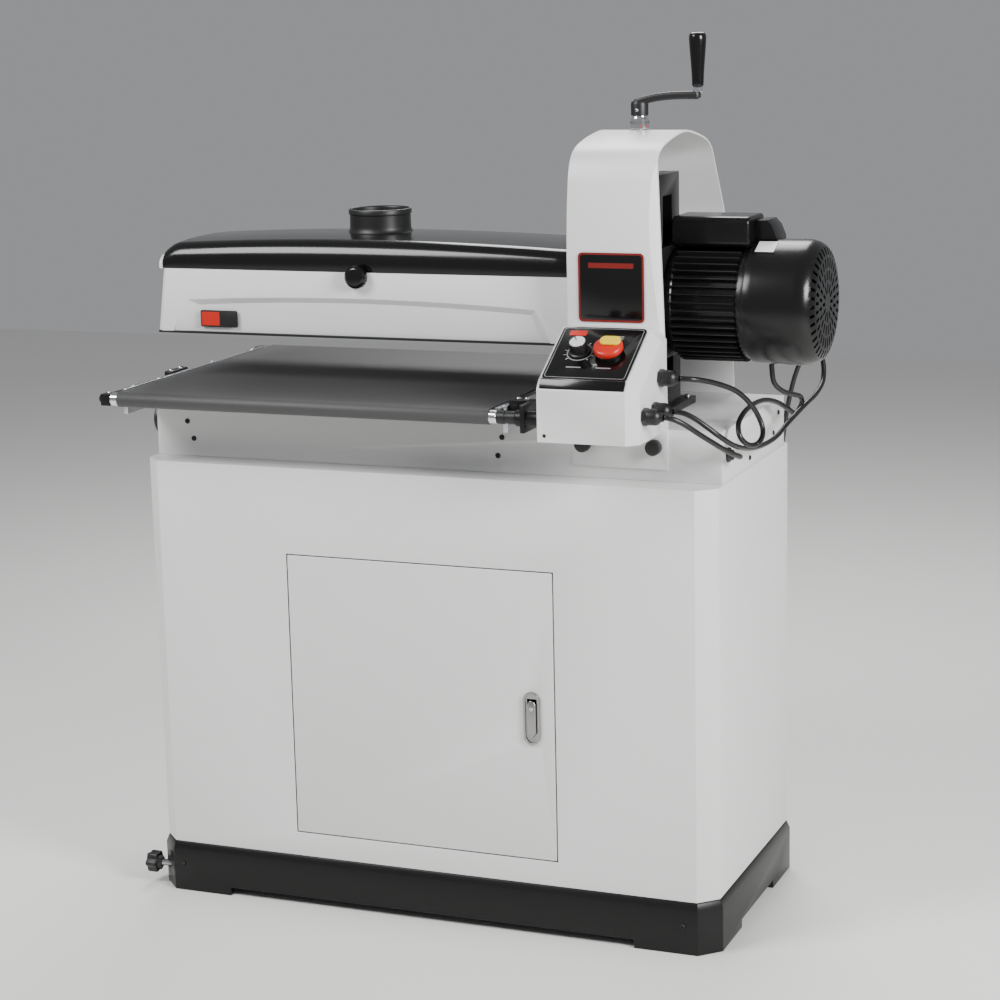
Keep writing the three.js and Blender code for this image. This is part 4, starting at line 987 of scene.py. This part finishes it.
# ---- motor --------------------------------------------------------------------------------------
def make_motor():
    frame_profile = [(13.5, 372.3), (78, 372.3), (84, 373.5), (87, 377), (88, 383), (88, 386), (86.5, 388),
                     (86.5, 492), (91, 494), (92, 496), (92, 506.7), (13.5, 506.7)]
    stand_in("motor_body", lathe("x", DRUM_AXIS, frame_profile, 112), MOTOR_BLACK, "black_paint")
    fin = prism("x", [(-1.6, 84), (1.6, 84), (1.0, 96.3), (0.4, 97), (-0.4, 97), (-1.0, 96.3)], 388, 493)
    count, skip = 46, 7
    step = 2 * math.pi / count
    fins = in_ring("motor_fins", fin, count - skip, (0, *DRUM_AXIS), (1, 0, 0), step * (skip + 1) / 2, step,
                   MOTOR_BLACK)
    piece(fins, None, "head", slot="black_paint")
    skin = [(96, 507.2), (98.6, 507.2), (99, 508.2), (99.4, 520), (99.5, 586), (98.9, 594), (96.6, 602),
            (92.6, 609), (86.5, 614.5), (78, 617.8), (66, 619), (0, 619), (0, 616.4), (65, 616.4),
            (77, 615.2), (85, 612.2), (90.6, 607), (94.2, 600.5), (96.2, 593), (96.6, 586), (96.4, 520)]
    cover = to_object("look_fan_cover", lathe("x", DRUM_AXIS, skin, 128))
    for low, high, number, start in ((16, 31, 12, 0.0), (36, 51, 20, 0.1), (56, 71, 30, 0.0),
            (76, 88, 38, 0.05)):
        slot = box(600, 640, -2.6, 2.6, low, high)
        cut_with(cover, in_ring("fan_slots", slot, number, (0, *DRUM_AXIS), (1, 0, 0), start,
                                2 * math.pi / number, MOTOR_BLACK))
    piece(cover, MOTOR_BLACK, "head", ["fan_cover"], "black_paint", 30)
    screws("fan_cover_screws", [(515, 99.2, DRUM_AXIS[1] - 0.02)], BACKWARD, "head", STEEL, 3.4, 2)
    blades = in_ring("look_fan", box(562, 582, -1.8, 1.8, 18, 83), 10, (0, *DRUM_AXIS), (1, 0, 0), 0.0,
                     2 * math.pi / 10, MATTE_BLACK)
    piece(blades, None, "spindle", ["fan"], "black_plastic")
    made("fan_hub", lathe("x", DRUM_AXIS, [(12.8, 560), (23, 560), (24, 561), (24, 583), (23, 584),
            (12.8, 584)], 48), MATTE_BLACK, "spindle")
    section = [(y, z + 1132) for y, z in rounded(45.5, 24.6, 11, 8)]
    stand_in("capacitor_cover", prism("x", [(y, max(z, 1108.3)) for y, z in section], 376.5, 504),
             MOTOR_BLACK, "black_paint", 50, bevel=(5.0, 5, 40))
    side = [(1090, 508.5), (1149.5, 508.5), (1149.5, 524), (1140, 533), (1122, 540.5), (1090, 540.5)]
    box_shape = to_object("look_junction_box", prism("y", side, -13.5, 41.5))
    carved(box_shape, rod("x", DRUM_AXIS, 99.9, 500, 560, 96))
    piece(bevelled(box_shape, 2.6, 4, 30), MOTOR_BLACK, "head", ["junction_box"], "black_plastic", 40)
    label_turn = Matrix.Translation((0, *DRUM_AXIS)) @ Matrix.Rotation(math.radians(24), 4, "X")
    made("motor_label", moved(box(516, 546, -16, 16, 99.3, 99.75), label_turn), LABEL_WHITE, "head")
    nipple = lathe("z", (522, 20), [(4.6, 917.5), (8, 917.5), (9.5, 920), (9.5, 925), (4.6, 925)], 36)
    made("lead_nipple", nipple, MATTE_BLACK, "head")


# ---- control box --------------------------------------------------------------------------------
SLOPE = math.atan2(66, 111)
PANEL_AT = (323, 65)
DIAL_AT = (299, 66)
STOP_AT = (347, 66)


def on_panel(shape, x, up):
    """A shape laid on the sloped panel, across at x and up from its lower edge."""
    place = Matrix.Translation((x, -316 + up * math.cos(SLOPE), 932 + up * math.sin(SLOPE)))
    return moved(shape, place @ Matrix.Rotation(SLOPE, 4, "X"))


def make_control_box():
    shell = carved(from_frame("control_box"), rod("y", (848, 262), 3.4, -326, -323, 32))
    piece(bevelled(shell, 2.2, 4, 20), WHITE, "stand", ["control_box"], "white_paint")
    panel = to_object("look_control_panel", on_panel(prism("z", rounded(67.8, 62.8, 7), 0.3, 3.3),
            *PANEL_AT))
    carved(panel, on_panel(rod("z", (0, 0), 18.6, -5, 10, 64), *STOP_AT))
    piece(bevelled(panel, 0.7, 3, 40), GLOSS_BLACK, "stand", ["control_panel"], "black_plastic")
    lip = [(-323.7, 920.8), (-324.8, 921.3), (-318.4, 934.9), (-315.4, 936.2), (-314.6, 933.6)]
    piece(bevelled(to_object("panel_lip", prism("x", lip, 255, 391)), 0.5, 2), GLOSS_BLACK, "stand")
    border = to_object("panel_border", on_panel(prism("z", rounded(64.5, 59.5, 5), 3.35, 3.55), *PANEL_AT))
    carved(border, on_panel(prism("z", rounded(63.6, 58.6, 4.4), 3, 4), *PANEL_AT))
    piece(border, LABEL_GREY, "stand")
    made("dial_ring", on_panel(lathe("z", (0, 0), [(18.4, 3.35), (20.6, 3.35), (20.6, 3.6), (18.4, 3.6)],
            72), *DIAL_AT), LABEL_GREY, "stand")
    ticks = []
    for i in range(11):
        turn = Matrix.Rotation(math.radians(225 - 27 * i), 4, "Z")
        ticks.append(on_panel(moved(box(21.6, 25.2, -0.45, 0.45, 3.35, 3.6), turn), *DIAL_AT))
    made("dial_ticks_panel", merged(*ticks), LABEL_WHITE, "stand")
    made("panel_red_tag", on_panel(prism("z", rounded(14, 6, 2), 3.35, 3.7), 283, 112), RED, "stand")
    chips = [on_panel(prism("z", rounded(12, 1.2, 0.8), 3.35, 3.6), x, up) for x,
             up in ((299, 30), (347, 30), (347, 106), (347, 101))]
    made("panel_marks", merged(*chips), LABEL_GREY, "stand")
    dial = [(0, 3.7), (15.8, 3.7), (16.6, 4.4), (16.6, 7), (13.8, 8.4), (13.3, 23), (12.6, 24.4), (0, 24.4)]
    stand_in("speed_dial", on_panel(lathe("z", (0, 0), dial, 72), *DIAL_AT), MATTE_BLACK, "black_plastic")
    # The cap's light silver includes painted glare.
    made("speed_dial_cap", on_panel(rod("z", (0, 0), 12.2, 23.6, 25.6, 64, 0.7), *DIAL_AT), DIAL_SILVER_AND_GLARE,
         "speed_knob")
    made("speed_pointer", on_panel(moved(box(3, 13.2, -0.8, 0.8, 24.3, 26.0), Matrix.Rotation(2.2, 4, "Z")),
                                   *DIAL_AT), MATTE_BLACK, "speed_knob")
    ribs = [on_panel(moved(box(12.6, 14.2, -0.7, 0.7, 9, 22.6),
                           Matrix.Rotation(2 * math.pi * i / 24, 4, "Z")), *DIAL_AT) for i in range(24)]
    made("speed_dial_ribs", merged(*ribs), MATTE_BLACK, "speed_knob")
    stem = lathe("z", (0, 0), [(0, -1.2), (18, -1.2), (18, 8), (0, 8)], 64)
    made("stop_stem", on_panel(stem, *STOP_AT), MATTE_BLACK, "stop_switch")
    paddle = [(0, 9.6), (20.6, 9.6), (22.6, 10.8), (23, 12.4), (23, 17), (22.2, 19.2), (19.8, 20.6),
              (0, 20.6)]
    stand_in("stop_paddle", on_panel(lathe("z", (0, 0), paddle, 80), *STOP_AT), RED, "red_plastic", 40)
    stand_in("safety_key", on_panel(prism("z", rounded(16.5, 9.5, 8.5, 10), 20.8, 25.2), 350, 72.5), YELLOW,
             "yellow_plastic", bevel=(1.4, 4, 40))
    for part, y, z in (("gland_upper", -213, 926), ("gland_lower_front", -292, 879),
                       ("gland_lower_rear", -244, 880)):
        nut = [(y + 14 * math.cos(math.radians(60 * i + 15)),
                z + 14 * math.sin(math.radians(60 * i + 15))) for i in range(6)]
        nut_obj = to_object("look_" + part, prism("x", nut, 410.3, 418.5))
        carved(nut_obj, rod("x", (y, z), 8, 405, 425, 40))
        piece(bevelled(nut_obj, 1.0, 3, 30), MATTE_BLACK, "stand", [part], "black_plastic")
        dome = [(4.5, 412), (7.9, 412), (7.9, 418.6), (12.6, 418.6), (12.8, 420), (12.8, 430), (11.6, 434),
                (8.6, 437), (7.2, 438), (6.8, 442.2), (4.5, 442.2)]
        made(part + "_dome", lathe("x", (y, z), dome, 56), MATTE_BLACK, "stand")
    front = PLATE_BACK
    for part, x in (("box_knob_left", 274), ("box_knob_right", 391)):
        knob = [(0, front - 22), (8, front - 22), (11, front - 20.8), (12.4, front - 18), (12.5, front - 7),
                (11.4, front - 5), (8, front - 0.1), (0, front - 0.1)]
        stand_in(part, lathe("y", (811.5, x), knob, 56), MATTE_BLACK, "black_plastic")
    screws("box_foot_screws", [(262, -323.1, 848)], FRONTWARD, "stand", radius=2.6, height=1.5)
    stand_in("name_plate", prism("y", [(z + 1058, x + 321) for x, z in rounded(53.7, 53.7, 7)], front - 1.4,
                                 front), GLOSS_BLACK, "black_plastic", bevel=(0.3, 2))
    edge = to_object("plate_border", prism("y", [(z + 1058, x + 321) for x, z in rounded(53.9, 53.9, 7)],
            front - 1.6, front - 1.2))
    carved(edge, prism("y", [(z + 1058, x + 321) for x, z in rounded(50.6, 50.6, 5)], front - 3, front + 1))
    piece(edge, DARK_RED, "stand")
    made("plate_bar", prism("y", [(z + 1092, x + 321) for x, z in rounded(37, 4, 1)], front - 1.7,
                            front - 1.45), DARK_RED, "stand")


# ---- floor and light ----------------------------------------------------------------------------
def make_stage():
    floor = to_object("floor", box(-6000, 6000, -6000, 6000, -10, -0.2))
    material = bpy.data.materials.new("pale_floor")
    shader = principled(material)
    shader.inputs["Base Color"].default_value = (0.8, 0.79, 0.77, 1)
    shader.inputs["Roughness"].default_value = 0.7
    floor.data.materials.append(material)
    world = bpy.data.worlds.new("studio")
    world.use_nodes = True
    background = next(n for n in world.node_tree.nodes if n.type == "BACKGROUND")
    background.inputs["Color"].default_value = (0.86, 0.87, 0.9, 1)
    background.inputs["Strength"].default_value = 0.36
    bpy.context.scene.world = world
    lights = [("key", (-1.7, -2.1, 3.0), 1.4, 105), ("side", (2.9, -1.3, 2.0), 1.1, 135),
              ("back", (-0.4, 1.9, 3.1), 1.6, 80)]
    for name, place, size, power in lights:
        data = bpy.data.lights.new(name, "AREA")
        data.size = size
        data.energy = power
        lamp = linked(name, data)
        aim = Vector((0, 0, 0.8)) - Vector(place)
        lamp.matrix_world = Matrix.Translation(place) @ aim.to_track_quat("-Z", "Y").to_matrix().to_4x4()


make_stand()
make_latch()
make_lock_knob()
make_base()
make_conveyor()
make_tower()
make_crank()
make_head()
make_drum()
make_motor()
make_control_box()
make_stage()
